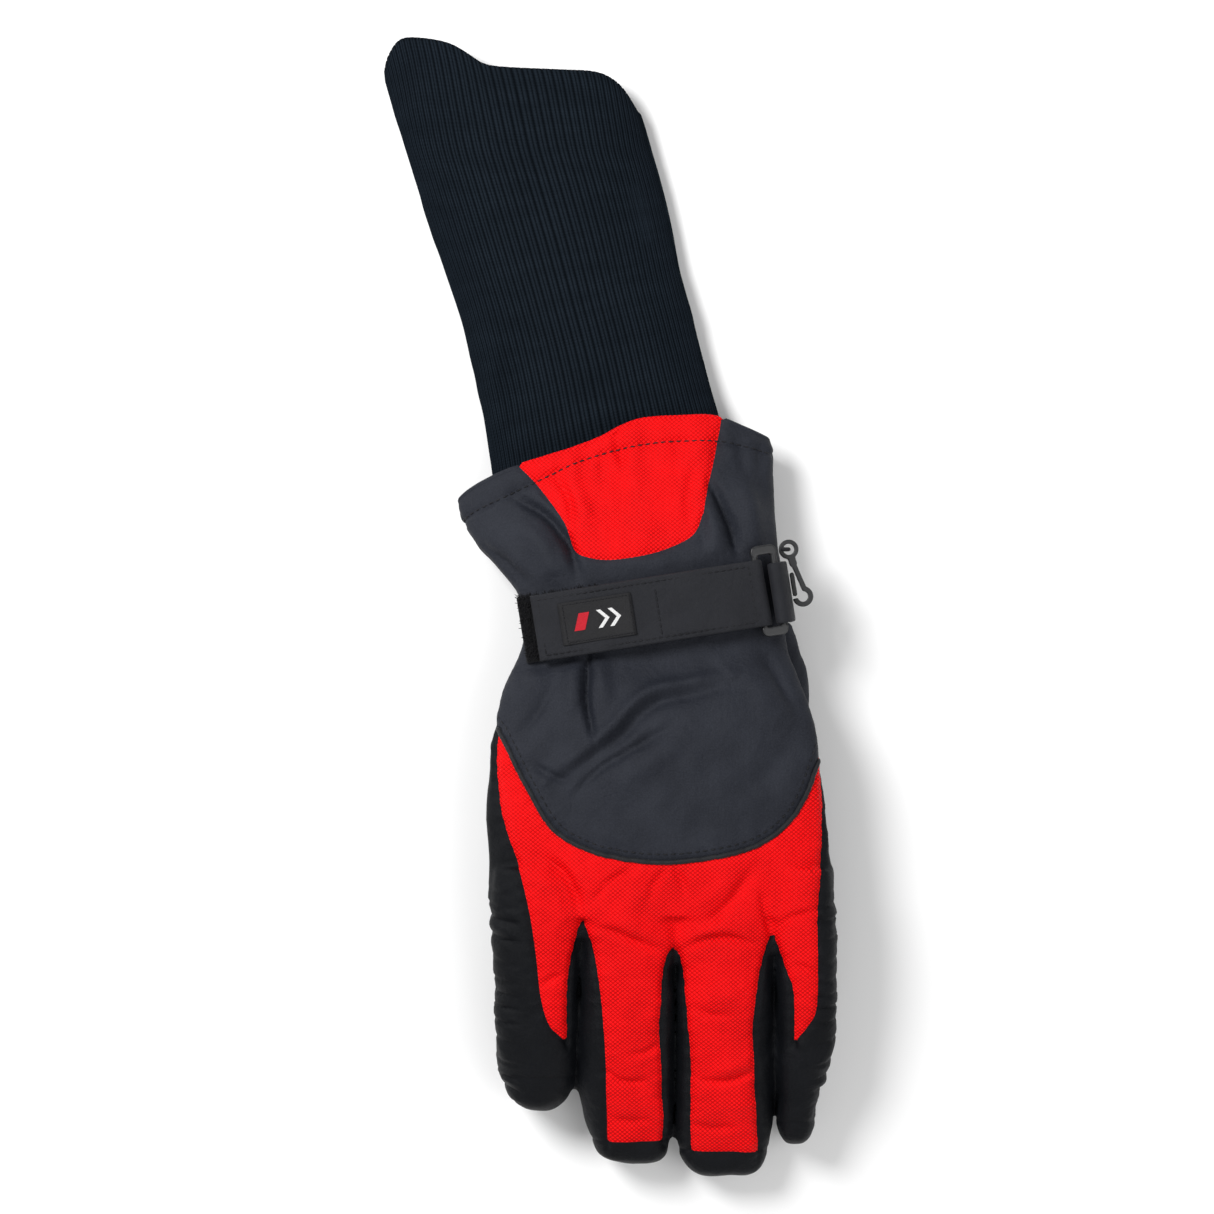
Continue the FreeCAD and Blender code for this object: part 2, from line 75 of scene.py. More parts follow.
BETWEEN = {  # middle of the gap between two fingers, and where the fingers part
    "pinky_ring": ((-10, -10, -10.2, -10.8, -11.6, -12.4, -12.4, -12.4), -124),
    "ring_middle": ((24.9, 24.9, 24.9, 25.3, 25.5, 25.5, 25.2, 25), -133),
    "middle_index": ((62.3, 62.3, 62.3, 62.6, 63.1, 63.7, 64, 64), -129),
}
FINGER_GAP = 1.8  # open space between two fingers
FINGER_ENDS = {  # rows near the tip: y, left edge, right edge
    "pinky": ((-167, -43.4, -12), (-178, -41.8, -13), (-183, -39.8, -13.5), (-189, -36.4, -16.2),
              (-192.6, -33.5, -19.5)),
    "ring": ((-176, -11.7, 24.6), (-186, -11.3, 24.6), (-194, -9.8, 24.5), (-199, -8.4, 24.3),
             (-205, -6.6, 23.7), (-210, -4.2, 22.6), (-213.4, -1.8, 21.2)),
    "middle": ((-190, 26.1, 62.9), (-200, 26, 62.4), (-205, 26.2, 61.7), (-210, 27.6, 60.5),
               (-215, 30.6, 58.6), (-218.5, 33, 57.2)),
    "index": ((-170, 63.9, 84.6), (-178, 64.2, 83.6), (-184, 64.5, 81.8), (-190, 64.7, 80.2),
              (-199, 65, 78.6), (-206.4, 67, 76.2)),
}
FINGERS = ("pinky", "ring", "middle", "index")
# Where each finger ends, how long its rounded tip is, how far the tip drops, where the cap's seam
# is, and where the finger's own panels start.
TIP_Y = {"pinky": -193.2, "ring": -213.6, "middle": -218.6, "index": -206.6}
TIP_ROUND = {"pinky": 8, "ring": 5, "middle": 5, "index": 6.0}
FINGER_ROUNDNESS = 2.6
TIP_LOW = {"pinky": -3, "ring": 0, "middle": 0, "index": -1.0}
CAP_SEAM = {"pinky": -178, "ring": -203.6, "middle": -207.8, "index": -196.0}
ROOT_CUT = {"pinky": -125, "ring": -134, "middle": -134, "index": -130.0}
HEM_STITCH_IN = 8.6  # how far the palm side's hem stitching is from the edge

# Seams on the back, as points of smooth curves in plan.
HEM_EDGE = ((-64, 33), (-57.2, 41.2), (-50.4, 46), (-34, 53.4), (-14, 59.8), (-1, 65),
            (6, 68.8), (14, 71.2), (28, 72.3), (39, 72.4), (45, 70.8), (62, 64.2), (70, 60.5))
HEM_STITCH = ((-62, 27), (-52.7, 35.3), (-41.3, 41), (-25, 48.6), (-9.4, 55.8), (13.3, 61.8),
              (38.4, 63.3), (52, 61.2), (61.2, 58.6), (68, 56))
HEM_PALM = ((-64, 34), (-40, 48), (0, 57), (40, 64), (70, 60))
INSERT_LEFT = ((-35, 54.5), (-26.7, 45.9), (-17.6, 33.6), (-14.9, 27), (-14, 18))
INSERT_RIGHT = ((43.5, 74), (40.6, 58), (37.4, 44), (35.8, 35), (35.4, 25))
INSERT_LOW = ((-14.9, 27.5), (-13.2, 22.4), (-9.4, 19.2), (0.8, 17.8), (15.6, 20), (27.6, 24.4),
              (33, 28.6), (35.6, 35))
BACK_SEAM = ((-52, -36), (-42.6, -44.5), (-37, -54), (-31.5, -64.8), (-20.9, -82.2),
             (-9, -89.8), (3.7, -93.4), (18.5, -94.9), (34.4, -93.9), (52.9, -89.9),
             (65, -82.6), (72.8, -72.4), (78.4, -58.5), (84, -44))
RED_LEFT = {
    "pinky": ((-41.5, -46), (-41.8, -60.7), (-39.2, -79), (-33.4, -97.6), (-29.5, -114),
              (-27.1, -130), (-25.4, -146), (-22.5, -156.6), (-18, -162), (-15.6, -164.5)),
    "ring": ((-9.7, -117.6), (-8.3, -120.4), (-5.3, -131), (-3.7, -140.6), (-2.2, -154),
             (-1.2, -167), (-0.8, -185), (-0.4, -206)),
    "middle": ((24.4, -128.2), (26.2, -130.8), (28.3, -141), (29.9, -156.6), (31, -175),
               (31.4, -210)),
    "index": ((61.4, -123.4), (62.9, -126.4), (66.2, -135.6), (68.7, -141.5), (69.7, -151),
              (69.7, -166)),
}
RED_RIGHT = {
    "pinky": ((-9.7, -117.6), (-11.2, -120.4), (-13.7, -131), (-15.4, -143), (-15.6, -166)),
    "ring": ((24.4, -128.2), (22.4, -130.8), (20.3, -141), (19.3, -155), (20.1, -175),
             (21.3, -206)),
    "middle": ((61.4, -123.4), (59.9, -126.4), (56.4, -140), (54.6, -156), (55.3, -178),
               (57.4, -210)),
    "index": ((79.6, -58), (80.3, -79), (79.4, -100), (78.2, -118), (78.7, -140),
              (78.3, -151.3), (75.8, -156.8), (71.8, -162), (69.7, -165)),
}
GRIP_PATCH = ((-46, -86), (-38.5, -28.5), (19.7, -32), (10, -107))


def smooth_line(points, spacing=1.0):
    """Points along a smooth curve through the given ones."""
    pts = np.array(points, float)
    ends = np.vstack([2 * pts[0] - pts[1], pts, 2 * pts[-1] - pts[-2]])
    out = []
    for i in range(1, len(ends) - 2):
        a, b, c, d = ends[i - 1:i + 3]
        count = max(2, int(np.linalg.norm(c - b) / spacing))
        t = np.linspace(0, 1, count, endpoint=False)[:, None]
        out.append(0.5 * (2 * b + (c - a) * t + (2 * a - 5 * b + 4 * c - d) * t ** 2
                          + (3 * b - a - 3 * c + d) * t ** 3))
    out.append(pts[-1:])
    return np.vstack(out)


def run_along(path):
    """Length along a path at each of its points."""
    return np.concatenate([[0], np.cumsum(np.linalg.norm(np.diff(path, axis=0), axis=1))])


def ease(value, low, high):
    """0 below low, 1 above high, and a smooth rise between."""
    t = np.clip((value - low) / (high - low), 0.0, 1.0)
    return t * t * (3 - 2 * t)


def smooth_table(at, xs, ys):
    """A smooth value between table rows; xs may rise or fall."""
    xs, ys = np.array(xs, float), np.array(ys, float)
    if xs[0] > xs[-1]:
        xs, ys = xs[::-1], ys[::-1]
    slope = np.gradient(ys, xs)
    at = np.clip(at, xs[0], xs[-1])
    i = np.clip(np.searchsorted(xs, at) - 1, 0, len(xs) - 2)
    h = xs[i + 1] - xs[i]
    t = (at - xs[i]) / h
    return ((2 * t ** 3 - 3 * t ** 2 + 1) * ys[i] + (t ** 3 - 2 * t ** 2 + t) * h * slope[i]
            + (3 * t ** 2 - 2 * t ** 3) * ys[i + 1] + (t ** 3 - t ** 2) * h * slope[i + 1])


def distance_to(points, line):
    """Distance in plan from each point to a polyline, signed (left is positive), and how far
    along the line it is, from 0 to 1."""
    best = np.full(len(points), 1e9)
    side, along = np.zeros(len(points)), np.zeros(len(points))
    lengths = np.linalg.norm(np.diff(line, axis=0), axis=1)
    run = run_along(line)
    for k in range(len(line) - 1):
        a, d = line[k], line[k + 1] - line[k]
        rel = points[:, :2] - a
        t = np.clip(rel @ d / max(d @ d, 1e-9), 0, 1)
        off = rel - t[:, None] * d
        dist = np.hypot(off[:, 0], off[:, 1])
        near = dist < best
        best[near] = dist[near]
        side[near] = np.sign(d[0] * rel[:, 1] - d[1] * rel[:, 0])[near]
        along[near] = ((run[k] + t * lengths[k]) / run[-1])[near]
    return best * np.where(side == 0, 1, side), along


def x_on(line, y):
    """X of a seam that runs down the glove, at each y."""
    order = np.argsort(line[:, 1])
    return np.interp(y, line[order, 1], line[order, 0])


def y_on(line, x):
    """Y of a seam that runs across the glove, at each x."""
    order = np.argsort(line[:, 0])
    return np.interp(x, line[order, 0], line[order, 1])


# ---------------------------------------------------------------- meshes
def linked(name, data):
    obj = bpy.data.objects.new(name, data)
    bpy.context.scene.collection.objects.link(obj)
    return obj


def new_object(name, vertices, faces, smooth=True):
    mesh = bpy.data.meshes.new(name)
    mesh.from_pydata(np.asarray(vertices).tolist(), [], [list(map(int, f)) for f in faces])
    mesh.update()
    if smooth:
        mesh.shade_smooth()
    return linked(name, mesh)


def tube_faces(rows, around, outward=True, start=0):
    """Quads between rings of points."""
    faces = []
    for i in range(rows - 1):
        here, there = start + i * around, start + (i + 1) * around
        for j in range(around):
            k = (j + 1) % around
            faces.append((here + j, here + k, there + k, there + j) if outward
                         else (here + j, there + j, there + k, here + k))
    return faces


def lofted(rings):
    """A closed tube through rings of points, with a fan at each end."""
    rings = np.array(rings)
    count, around = rings.shape[:2]
    vertices = np.vstack([rings.reshape(-1, 3), rings[0].mean(0), rings[-1].mean(0)])
    faces = tube_faces(count, around)
    for j in range(around):
        k = (j + 1) % around
        faces.append((count * around, k, j))
        faces.append((count * around + 1, (count - 1) * around + j, (count - 1) * around + k))
    return vertices, faces


def joined(parts):
    """Several (vertices, faces) pairs as one."""
    vertices, faces, start = [], [], 0
    for v, f in parts:
        vertices.append(v)
        faces += [tuple(i + start for i in face) for face in f]
        start += len(v)
    return np.vstack(vertices), faces


def corners_of(mesh):
    """The vertex at each corner of each face."""
    corner = np.empty(len(mesh.loops), dtype=np.int64)
    mesh.loops.foreach_get("vertex_index", corner)
    return corner


def coordinates(mesh):
    """The mesh's points, in millimetres."""
    points = np.empty(len(mesh.vertices) * 3)
    mesh.vertices.foreach_get("co", points)
    return points.reshape(-1, 3) / MM


def set_weave(mesh, uv):
    """Writes the weave's coordinates, in millimetres, given for each corner."""
    mesh.uv_layers.new(name="weave").data.foreach_set("uv", uv.ravel())


def unit(vectors):
    return vectors / np.maximum(np.linalg.norm(vectors, axis=-1), 1e-9)[..., None]


def edges_of(triangles):
    return np.vstack([triangles[:, [0, 1]], triangles[:, [1, 2]], triangles[:, [2, 0]]])


def rounded(wave, roundness):
    """A circle's sine or cosine, squared off at the corners."""
    return np.sign(wave) * np.abs(wave) ** (2 / roundness)


def ring_points(left, right, low, high, roundness=ROUNDNESS, around=AROUND):
    angle = np.linspace(0, 2 * np.pi, around, endpoint=False)
    aside, up = rounded(np.cos(angle), roundness), rounded(np.sin(angle), roundness)
    left, right = np.array(left, float), np.array(right, float)
    plan = (left + right) / 2 + aside[:, None] * (right - left) / 2
    return np.column_stack([plan, (low + high) / 2 + up * (high - low) / 2])


def sections(table, spacing=STEP):
    """A table of cross-sections as many smooth ones: left and right edge, low, high."""
    rows = smooth_line([[*left, *right, low, high] for left, right, low, high in table], spacing)
    return [(row[0:2], row[2:4], row[4], row[5]) for row in rows]


def hand_rings(inset=0.0):
    rings = []
    for left, right, low, high in sections(SHELL):
        inward = (right - left) / np.linalg.norm(right - left) * inset
        rings.append(ring_points(left + inward, right - inward, low + inset, high - inset))
    return rings


def finger_edges(name, y):
    """Left and right edges of a finger at y; fingers overlap until they part."""
    edges = []
    number = FINGERS.index(name)
    for side, key in ((-1, number - 1), (1, number)):
        if key < 0:
            edges.append(smooth_table(y, FINGER_Y, OUTER_LEFT))
        elif key > 2:
            edges.append(smooth_table(y, FINGER_Y, OUTER_RIGHT))
        else:
            middle, part = list(BETWEEN.values())[key]
            apart = ease(-y, -part - 3.0, -part + 3.0)
            edges.append(smooth_table(y, FINGER_Y, middle) - side * (apart * (1.4 + FINGER_GAP / 2) - 1.4))
    rows = FINGER_ENDS[name]
    share = ease(-np.asarray(y, float), -rows[0][0] - 6.0, -rows[0][0] + 6.0)
    for k in (0, 1):
        end = smooth_table(y, [r[0] for r in rows], [r[k + 1] for r in rows])
        edges[k] = edges[k] * (1 - share) + end * share
    return edges


def finger_rings(name, inset=0.0):
    tip, round_length = TIP_Y[name] + inset, TIP_ROUND[name]
    rings = []
    run = FINGER_Y[0] - tip
    for t in np.linspace(0, 1, int(run / STEP)):
        y = FINGER_Y[0] - run * math.sin(t * math.pi / 2)
        left, right = finger_edges(name, y)
        low, high = smooth_table(y, FINGER_Y, FINGER_LOW), smooth_table(y, FINGER_Y, FINGER_HIGH)
        low += TIP_LOW[name] * ease(-y, -tip - 40, -tip) + inset
        high -= inset
        into = max(0.0, (tip + round_length - y) / round_length)
        size = max(0.03, (1 - min(into, 1.0) ** 2.6)) ** (1 / 2.6)
        middle, half = (left + right) / 2, (right - left) / 2 - inset
        centre = low + (high - low) * 0.46
        low2, high2 = centre - (centre - low) * size, centre + (high - centre) * size
        wide = 0.35 + 0.65 * size
        rings.append(ring_points((middle - half * wide, y), (middle + half * wide, y), low2, high2,
                                 FINGER_ROUNDNESS))
    return rings


def voxel_mesh(obj, voxel, smoothing, triangles=False):
    """An object's shape made whole from small cubes, then smoothed."""
    union = obj.modifiers.new("union", "REMESH")
    union.mode = "VOXEL"
    union.voxel_size = voxel * MM
    obj.modifiers.new("relax", "SMOOTH").iterations = smoothing
    if triangles:
        obj.modifiers.new("triangles", "TRIANGULATE").quad_method = "SHORTEST_DIAGONAL"
    return bpy.data.meshes.new_from_object(obj.evaluated_get(bpy.context.evaluated_depsgraph_get()))


def remeshed(name, parts, voxel, smoothing):
    """The points and triangles of several closed tubes melted into one."""
    vertices, faces = joined(parts)
    obj = new_object(name, vertices * MM, faces)
    mesh = voxel_mesh(obj, voxel, smoothing, True)
    points = coordinates(mesh)
    triangles = np.empty(len(mesh.polygons) * 3, dtype=np.int64)
    mesh.polygons.foreach_get("vertices", triangles)
    bpy.data.meshes.remove(mesh)
    bpy.data.objects.remove(obj)
    return points, triangles.reshape(-1, 3)


def vertex_normals(points, triangles):
    a, b, c = (points[triangles[:, i]] for i in range(3))
    flat = np.cross(b - a, c - a)
    normals = np.zeros_like(points)
    for i in range(3):
        np.add.at(normals, triangles[:, i], flat)
    return unit(normals)


def cut_by_label(rest, points, triangles, label):
    """Splits triangles along the borders between labels, so each panel has a clean edge."""
    names = label(rest)
    edges = np.unique(np.sort(edges_of(triangles), axis=1), axis=0)
    edges = edges[names[edges[:, 0]] != names[edges[:, 1]]]
    low, high = np.zeros(len(edges)), np.ones(len(edges))
    a, b = rest[edges[:, 0]], rest[edges[:, 1]]
    for _ in range(12):
        middle = (low + high) / 2
        same = label(a + (b - a) * middle[:, None]) == names[edges[:, 0]]
        low, high = np.where(same, middle, low), np.where(same, high, middle)
    t = np.clip((low + high) / 2, 0.02, 0.98)[:, None]
    new_rest = a + (b - a) * t
    new_points = points[edges[:, 0]] * (1 - t) + points[edges[:, 1]] * t
    index = {(int(i), int(j)): len(rest) + k for k, (i, j) in enumerate(edges)}
    tri_names = names[triangles]
    mixed = (tri_names[:, 0] != tri_names[:, 1]) | (tri_names[:, 1] != tri_names[:, 2])
    out, out_names = [triangles[~mixed]], [tri_names[~mixed][:, 0]]
    extra_rest, extra_points, added, added_names = [], [], [], []
    total = len(rest) + len(edges)
    for tri, own in zip(triangles[mixed], tri_names[mixed]):
        cuts = [index.get((int(min(tri[i], tri[(i + 1) % 3])), int(max(tri[i], tri[(i + 1) % 3]))))
                for i in range(3)]
        if all(c is not None for c in cuts):
            extra_rest.append(rest[tri].mean(0))
            extra_points.append(points[tri].mean(0))
            for i in range(3):
                added += [(tri[i], cuts[i], total), (tri[i], total, cuts[i - 1])]
                added_names += [own[i], own[i]]
            total += 1
            continue
        i = next(k for k in range(3) if cuts[k] is None)
        p, q, r = tri[i], tri[(i + 1) % 3], tri[(i + 2) % 3]
        cut_qr, cut_rp = cuts[(i + 1) % 3], cuts[(i + 2) % 3]
        added += [(p, q, cut_qr), (p, cut_qr, cut_rp), (r, cut_rp, cut_qr)]
        added_names += [own[i], own[i], own[(i + 2) % 3]]
    if extra_rest:
        new_rest = np.vstack([new_rest, extra_rest])
        new_points = np.vstack([new_points, extra_points])
    return (np.vstack([rest, new_rest]), np.vstack([points, new_points]),
            np.vstack(out + [np.array(added)]), np.concatenate(out_names + [np.array(added_names)]))


def box_uv(mesh, rest, rest_normals):
    """Weave coordinates in millimetres, laid flat on the back, palm or side of the glove."""
    corner = corners_of(mesh)
    p, n = rest[corner], rest_normals[corner].reshape(-1, 3)
    face_normals = np.repeat(n.reshape(-1, 3, 3).mean(1), 3, axis=0)
    upright = np.abs(face_normals[:, 2]) < 0.42
    u = np.where(upright, p[:, 2], p[:, 0])
    set_weave(mesh, np.column_stack([u, p[:, 1]]))


def panel(name, layer, thickness):
    """One fabric panel with its thickness, cut from a layer; its shading follows the whole."""
    rest, points, normals, rest_normals, triangles, names = layer
    used, local = np.unique(triangles[names == name], return_inverse=True)
    local = local.reshape(-1, 3)
    count = len(used)
    outer, inner = points[used], points[used] - normals[used] * thickness
    edges = edges_of(local)
    _, where, repeats = np.unique(np.sort(edges, axis=1), axis=0, return_index=True, return_counts=True)
    rim = edges[where[repeats == 1]]
    walls = np.vstack([np.column_stack([rim[:, 1], rim[:, 0], rim[:, 0] + count]),
                       np.column_stack([rim[:, 1], rim[:, 0] + count, rim[:, 1] + count])])
    faces = np.vstack([local, local[:, ::-1] + count, walls])
    obj = new_object(name + "_cloth", np.vstack([outer, inner]) * MM, faces)
    box_uv(obj.data, np.vstack([rest[used]] * 2), np.vstack([rest_normals[used]] * 2))
    lay = np.vstack([normals[used], -normals[used]])[faces.ravel()]
    if len(walls):
        a, b, c = np.vstack([outer, inner])[walls].transpose(1, 0, 2)
        lay[-len(walls) * 3:] = np.repeat(unit(np.cross(b - a, c - a)), 3, axis=0)
    obj.data.normals_split_custom_set(lay.tolist())
    return obj


# ---------------------------------------------------------------- the shell: hand, cuff, fingers
LINES = {name: smooth_line(line) for name, line in (
    ("hem", HEM_EDGE), ("hem_palm", HEM_PALM), ("hem_stitch", HEM_STITCH), ("insert_left", INSERT_LEFT),
    ("insert_right", INSERT_RIGHT), ("insert_low", INSERT_LOW), ("back_seam", BACK_SEAM))}
RED = {name: (smooth_line(RED_LEFT[name]), smooth_line(RED_RIGHT[name])) for name in FINGERS}
ROWS = np.array([[(l[1] + r[1]) / 2, (low + high) / 2] for l, r, low, high in SHELL])
ARCH_RADIUS = 260.0  # the wrist's arch under the strap
SHELL_ARCH, LINER_ARCH = 39.3, 36.4  # how high the shell and the liner reach under it
STRAP_MIDDLE = np.array([18.0, -1.0])
STRAP_TURN = math.radians(9.0)
STRAP_ALONG = np.array([math.cos(STRAP_TURN), math.sin(STRAP_TURN)])
STRAP_ACROSS = np.array([-math.sin(STRAP_TURN), math.cos(STRAP_TURN)])


def hem_at(x, upper):
    """Y of the cuff's edge, on the back or the palm side."""
    return np.where(upper, y_on(LINES["hem"], x), y_on(LINES["hem_palm"], x))


def strap_place(p):
    """Where points lie on the strap: along it and across it."""
    rel = p[:, :2] - STRAP_MIDDLE
    return rel @ STRAP_ALONG, rel @ STRAP_ACROSS


def mid_height(p):
    """Height of the side seam that parts the back from the palm."""
    lean = np.clip((p[:, 1] - 0.0) / 60.0, 0, 1) * 0.21
    y = p[:, 1] - (p[:, 0] - 5.0) * lean
    hand = smooth_table(y, ROWS[:, 0], ROWS[:, 1])
    fingers = smooth_table(p[:, 1], FINGER_Y, [(a + b) / 2 for a, b in zip(FINGER_LOW, FINGER_HIGH)])
    share = ease(-p[:, 1], 104.0, 118.0)
    return hand * (1 - share) + fingers * share


def finger_of(p):
    """Which finger's strip a point is in, from 0 for the pinky."""
    borders = [smooth_table(p[:, 1], FINGER_Y, BETWEEN[k][0]) for k in BETWEEN]
    return sum((p[:, 0] > b).astype(int) for b in borders)


def grip_inside(p):
    """Distance inside the palm's four-sided grip patch."""
    corners = np.array(GRIP_PATCH)
    inside = np.full(len(p), 1e9)
    for a, b in zip(corners, np.roll(corners, -1, axis=0)):
        d = (b - a) / np.linalg.norm(b - a)
        inside = np.minimum(inside, d[1] * (p[:, 0] - a[0]) - d[0] * (p[:, 1] - a[1]))
    return inside


def shell_label(p):
    x, y, z = p.T
    upper = z > mid_height(p)
    finger = finger_of(p)
    names = np.full(len(p), "palm_panel", dtype=object)
    cut = np.array([ROOT_CUT[n] for n in FINGERS])[finger]
    left = np.choose(finger, [x_on(RED[n][0], y) for n in FINGERS])
    right = np.choose(finger, [x_on(RED[n][1], y) for n in FINGERS])
    left = np.where((finger > 0) & (y > np.choose(finger, [RED[n][0][0, 1] for n in FINGERS])), -1e3, left)
    right = np.where((finger < 3) & (y > np.choose(finger, [RED[n][1][0, 1] for n in FINGERS])), 1e3, right)
    above_back = y > y_on(LINES["back_seam"], x)
    on_red = (x > left) & (x < right)
    beside = ((x < left) & (finger > 0)) | ((x > right) & (finger < 3))
    cuff = strap_place(p)[1] > 0
    names[upper] = "pinky_side_panel"
    names[upper & (x > 20)] = "index_side_panel"
    names[upper & on_red] = "knuckle_panel"
    names[upper & beside] = "finger_webs"
    names[upper & above_back] = "back_panel"
    names[~upper & (grip_inside(p) > 0)] = "palm_grip_patch"
    insert = ((x > x_on(LINES["insert_left"], y)) & (x < x_on(LINES["insert_right"], y))
              & (y > y_on(LINES["insert_low"], x)))
    names[upper & cuff] = "cuff_back_left"
    names[upper & cuff & (x > 12)] = "cuff_back_right"
    names[upper & cuff & insert] = "cuff_insert"
    names[~upper & cuff] = "cuff_palm_panel"
    names[y > hem_at(x, upper)] = "waste"
    for i, name in enumerate(FINGERS):
        own = (finger == i) & (y < cut)
        low, high = finger_edges(name, y)
        centre, half = (low + high) / 2, (high - low) / 2
        palm = np.abs(x - centre) < half * 0.72
        names[own] = name + "_gussets"
        names[own & ~upper & palm] = name + "_palm"
        names[own & upper & on_red] = name + "_back"
        if name == "pinky":
            names[own & (x < np.where(upper, left, centre - half * 0.72))] = "pinky_outer_panel"
            names[own & upper & (y < -163.0) & (x < x_on(RED[name][1], y) + 1.0)] = "pinky_outer_panel"
        if name == "index":
            names[own & (x > np.where(upper, right, centre + half * 0.72))] = "index_outer_panel"
            names[own & upper & (y < -163.5) & (x > x_on(RED[name][0], y) - 1.0)] = "index_outer_panel"
        names[own & (y < CAP_SEAM[name])] = name + "_tip_cap"
    return names.astype(str)


def noise_field(p, scale, seed):
    """Smooth noise from a few crossed waves, the same every run."""
    rng = np.random.default_rng(seed)
    total = np.zeros(len(p))
    for _ in range(14):
        direction = rng.normal(size=3)
        direction *= rng.uniform(0.5, 1.6) / (np.linalg.norm(direction) * scale)
        total += np.sin(2 * np.pi * (p @ direction) + rng.uniform(0, 2 * np.pi))
    return total / 3.7


def ridged(p, scale, seed):
    """Noise with narrow valleys, like pressed creases."""
    return 0.6 - np.abs(noise_field(p, scale * 2.2, seed)) ** 0.6 * 0.9


# Creases: points in plan, width, height; a "step" has a ridge on its left and a valley on its right.
BACK_CREASES = (
    (((-8, -13), (-8, -24), (-8.4, -33), (-7, -42), (-5, -51)), 1.4, -3.2),
    (((-13, -14), (-13.4, -27), (-14, -41)), 3.4, 1.8), (((-3.4, -14), (-3, -27), (-1, -37)), 3.4, 1.7),
    (((-20, -64), (-12, -58), (-3, -51), (4, -45.5), (9.5, -39), (17.5, -33.4), (30, -30.4), (45,
     -27.4)), 3.4, 2.5, "step"), (((24, -44), (8.5, -53), (-3.7, -60.7), (-14, -71)), 1.9, -2.1),
    (((28, -50), (12, -59.5), (0, -68)), 4.5, 1.6), (((-28, -59), (-21, -63), (-14, -65)), 1.5, -1.6),
    (((-20, -28), (-27, -40), (-35, -50)), 2, -1.2), (((-24, -16), (-29, -28), (-37, -38)), 4.5, 1.2),
    (((58, -17), (65, -28), (71, -41)), 2.4, -1.4), (((50, -19), (57, -31), (65, -46)), 5, 1.1),
    (((70, -50), (60, -62), (44, -70)), 4, -0.8),
    (((-11.6, 11), (-13, 18), (-16.6, 26), (-24, 35), (-36, 42)), 1.9, -3.4),
    (((-19, 11), (-24, 22), (-34, 33)), 4.6, 2.4), (((-30, 8), (-39, 16), (-50, 24)), 2.4, -1.8),
    (((-14, 30), (-14.6, 40), (-20, 50)), 1.5, -1.6), (((-9, 24), (-9.4, 36), (-14, 50)), 3.4, 1.5),
    (((48.6, 20), (46.6, 30), (42, 41), (38, 49)), 1.9, -3.4), (((40, 19), (40, 28), (36, 41)), 3.6, 1.7),
    (((55, 20), (54, 34), (50, 50)), 4.6, 2.4), (((31, 30), (30, 42), (33, 55)), 2, -1),
    (((4, 69), (3, 62), (6, 54)), 1.8, -1.2), (((10, 20), (12, 36), (10, 52)), 7, 0.9),
    (((-25, -93), (-17, -99), (-12.4, -107), (-10, -117)), 1.7, -1.6),
    (((-19, -92), (-11, -99), (-6, -110)), 3.2, 1), (((-30, -98), (-21, -106), (-16, -118)), 3.4, 1),
    (((10.5, -95.5), (6, -99), (0, -103), (-5, -109)), 1.5, -1.2),
    (((23.5, -96.5), (27, -101), (29, -108)), 1.5, -1), (((22.5, -96.5), (18, -102), (15, -110)), 1.5, -1),
    (((27.4, -129), (35, -125), (44.4, -123.6), (55.5, -127)), 1.5, -1.7),
    (((28, -124), (36, -120.4), (47, -119.6)), 2.8, 1.2),
    (((21.4, -129), (11, -125.4), (2, -121.4), (-6, -119.6)), 1.5, -1.5),
    (((18, -123), (9, -119.4), (0, -115)), 3, 1),
    (((55, -96), (49, -105), (42, -114), (32, -121.5)), 1.9, -1.4),
    (((48, -95), (43, -103), (35, -112)), 3.6, 1), (((61.4, -123), (59, -115), (57, -106)), 1.4, -1.4),
    (((63, -121), (68, -116), (78, -113.6)), 1.3, -1.2), (((70, -134), (75, -135.6), (79, -137)), 1.2, -1),
    (((-25.6, -142), (-21, -139), (-16, -138)), 1.2, -0.9), (((8, -104), (9, -118), (8, -140)), 6, 1),
    (((42, -128), (43, -140), (43, -160)), 6, 0.9),
    (((-0.6, -175.4), (3.6, -178.8), (9, -180), (15, -179)), 1.3, -1.3),
    (((19.6, -164), (14, -168), (8, -168.6)), 1.4, -1),
    (((55.4, -174.6), (49, -178.2), (41.4, -179.8), (33, -178.6)), 1.3, -1.4),
    (((54, -170.4), (46, -174), (38, -175)), 2.6, 0.8), (((32, -150), (38, -153), (46, -153)), 1.6, -0.8),
    (((31.6, -196), (40, -198.4), (50, -197)), 1.5, -0.8),
    (((0, -193), (8, -195.6), (17, -194.6)), 1.5, -0.8),
)
PALM_CREASES = (
    (((24, -30), (20, -60), (12, -95)), 3.5, -1.4), (((-10, -20), (0, -14), (20, -16)), 5, 1.2),
    (((-35, -16), (-20, -22), (0, -24)), 3, -1.2), (((-40, -112), (-20, -116), (0, -114)), 3, -0.9),
    (((-44, -84), (-13, -60), (18, -34)), 1, -0.7), (((-38, -31), (-14, -66), (10, -104)), 1, -0.7),
)


def crease_shift(p, creases):
    total = np.zeros(len(p))
    for points, width, height, *step in creases:
        line = smooth_line(points, 2.0)
        low, high = line.min(0) - 3 * width, line.max(0) + 3 * width
        near = np.all((p[:, :2] > low) & (p[:, :2] < high), axis=1)
        d, t = distance_to(p[near], line)
        fade = np.sin(np.pi * np.clip(t, 0.02, 0.98)) ** 0.6
        shape = bell(d, width)
        if step:
            shape = shape * d / width * 2.0
        total[near] += height * fade * shape
    return total


def bell(distance, width):
    """1 at no distance, falling smoothly to almost 0 at twice the width."""
    return np.exp(-(distance / width) ** 2)


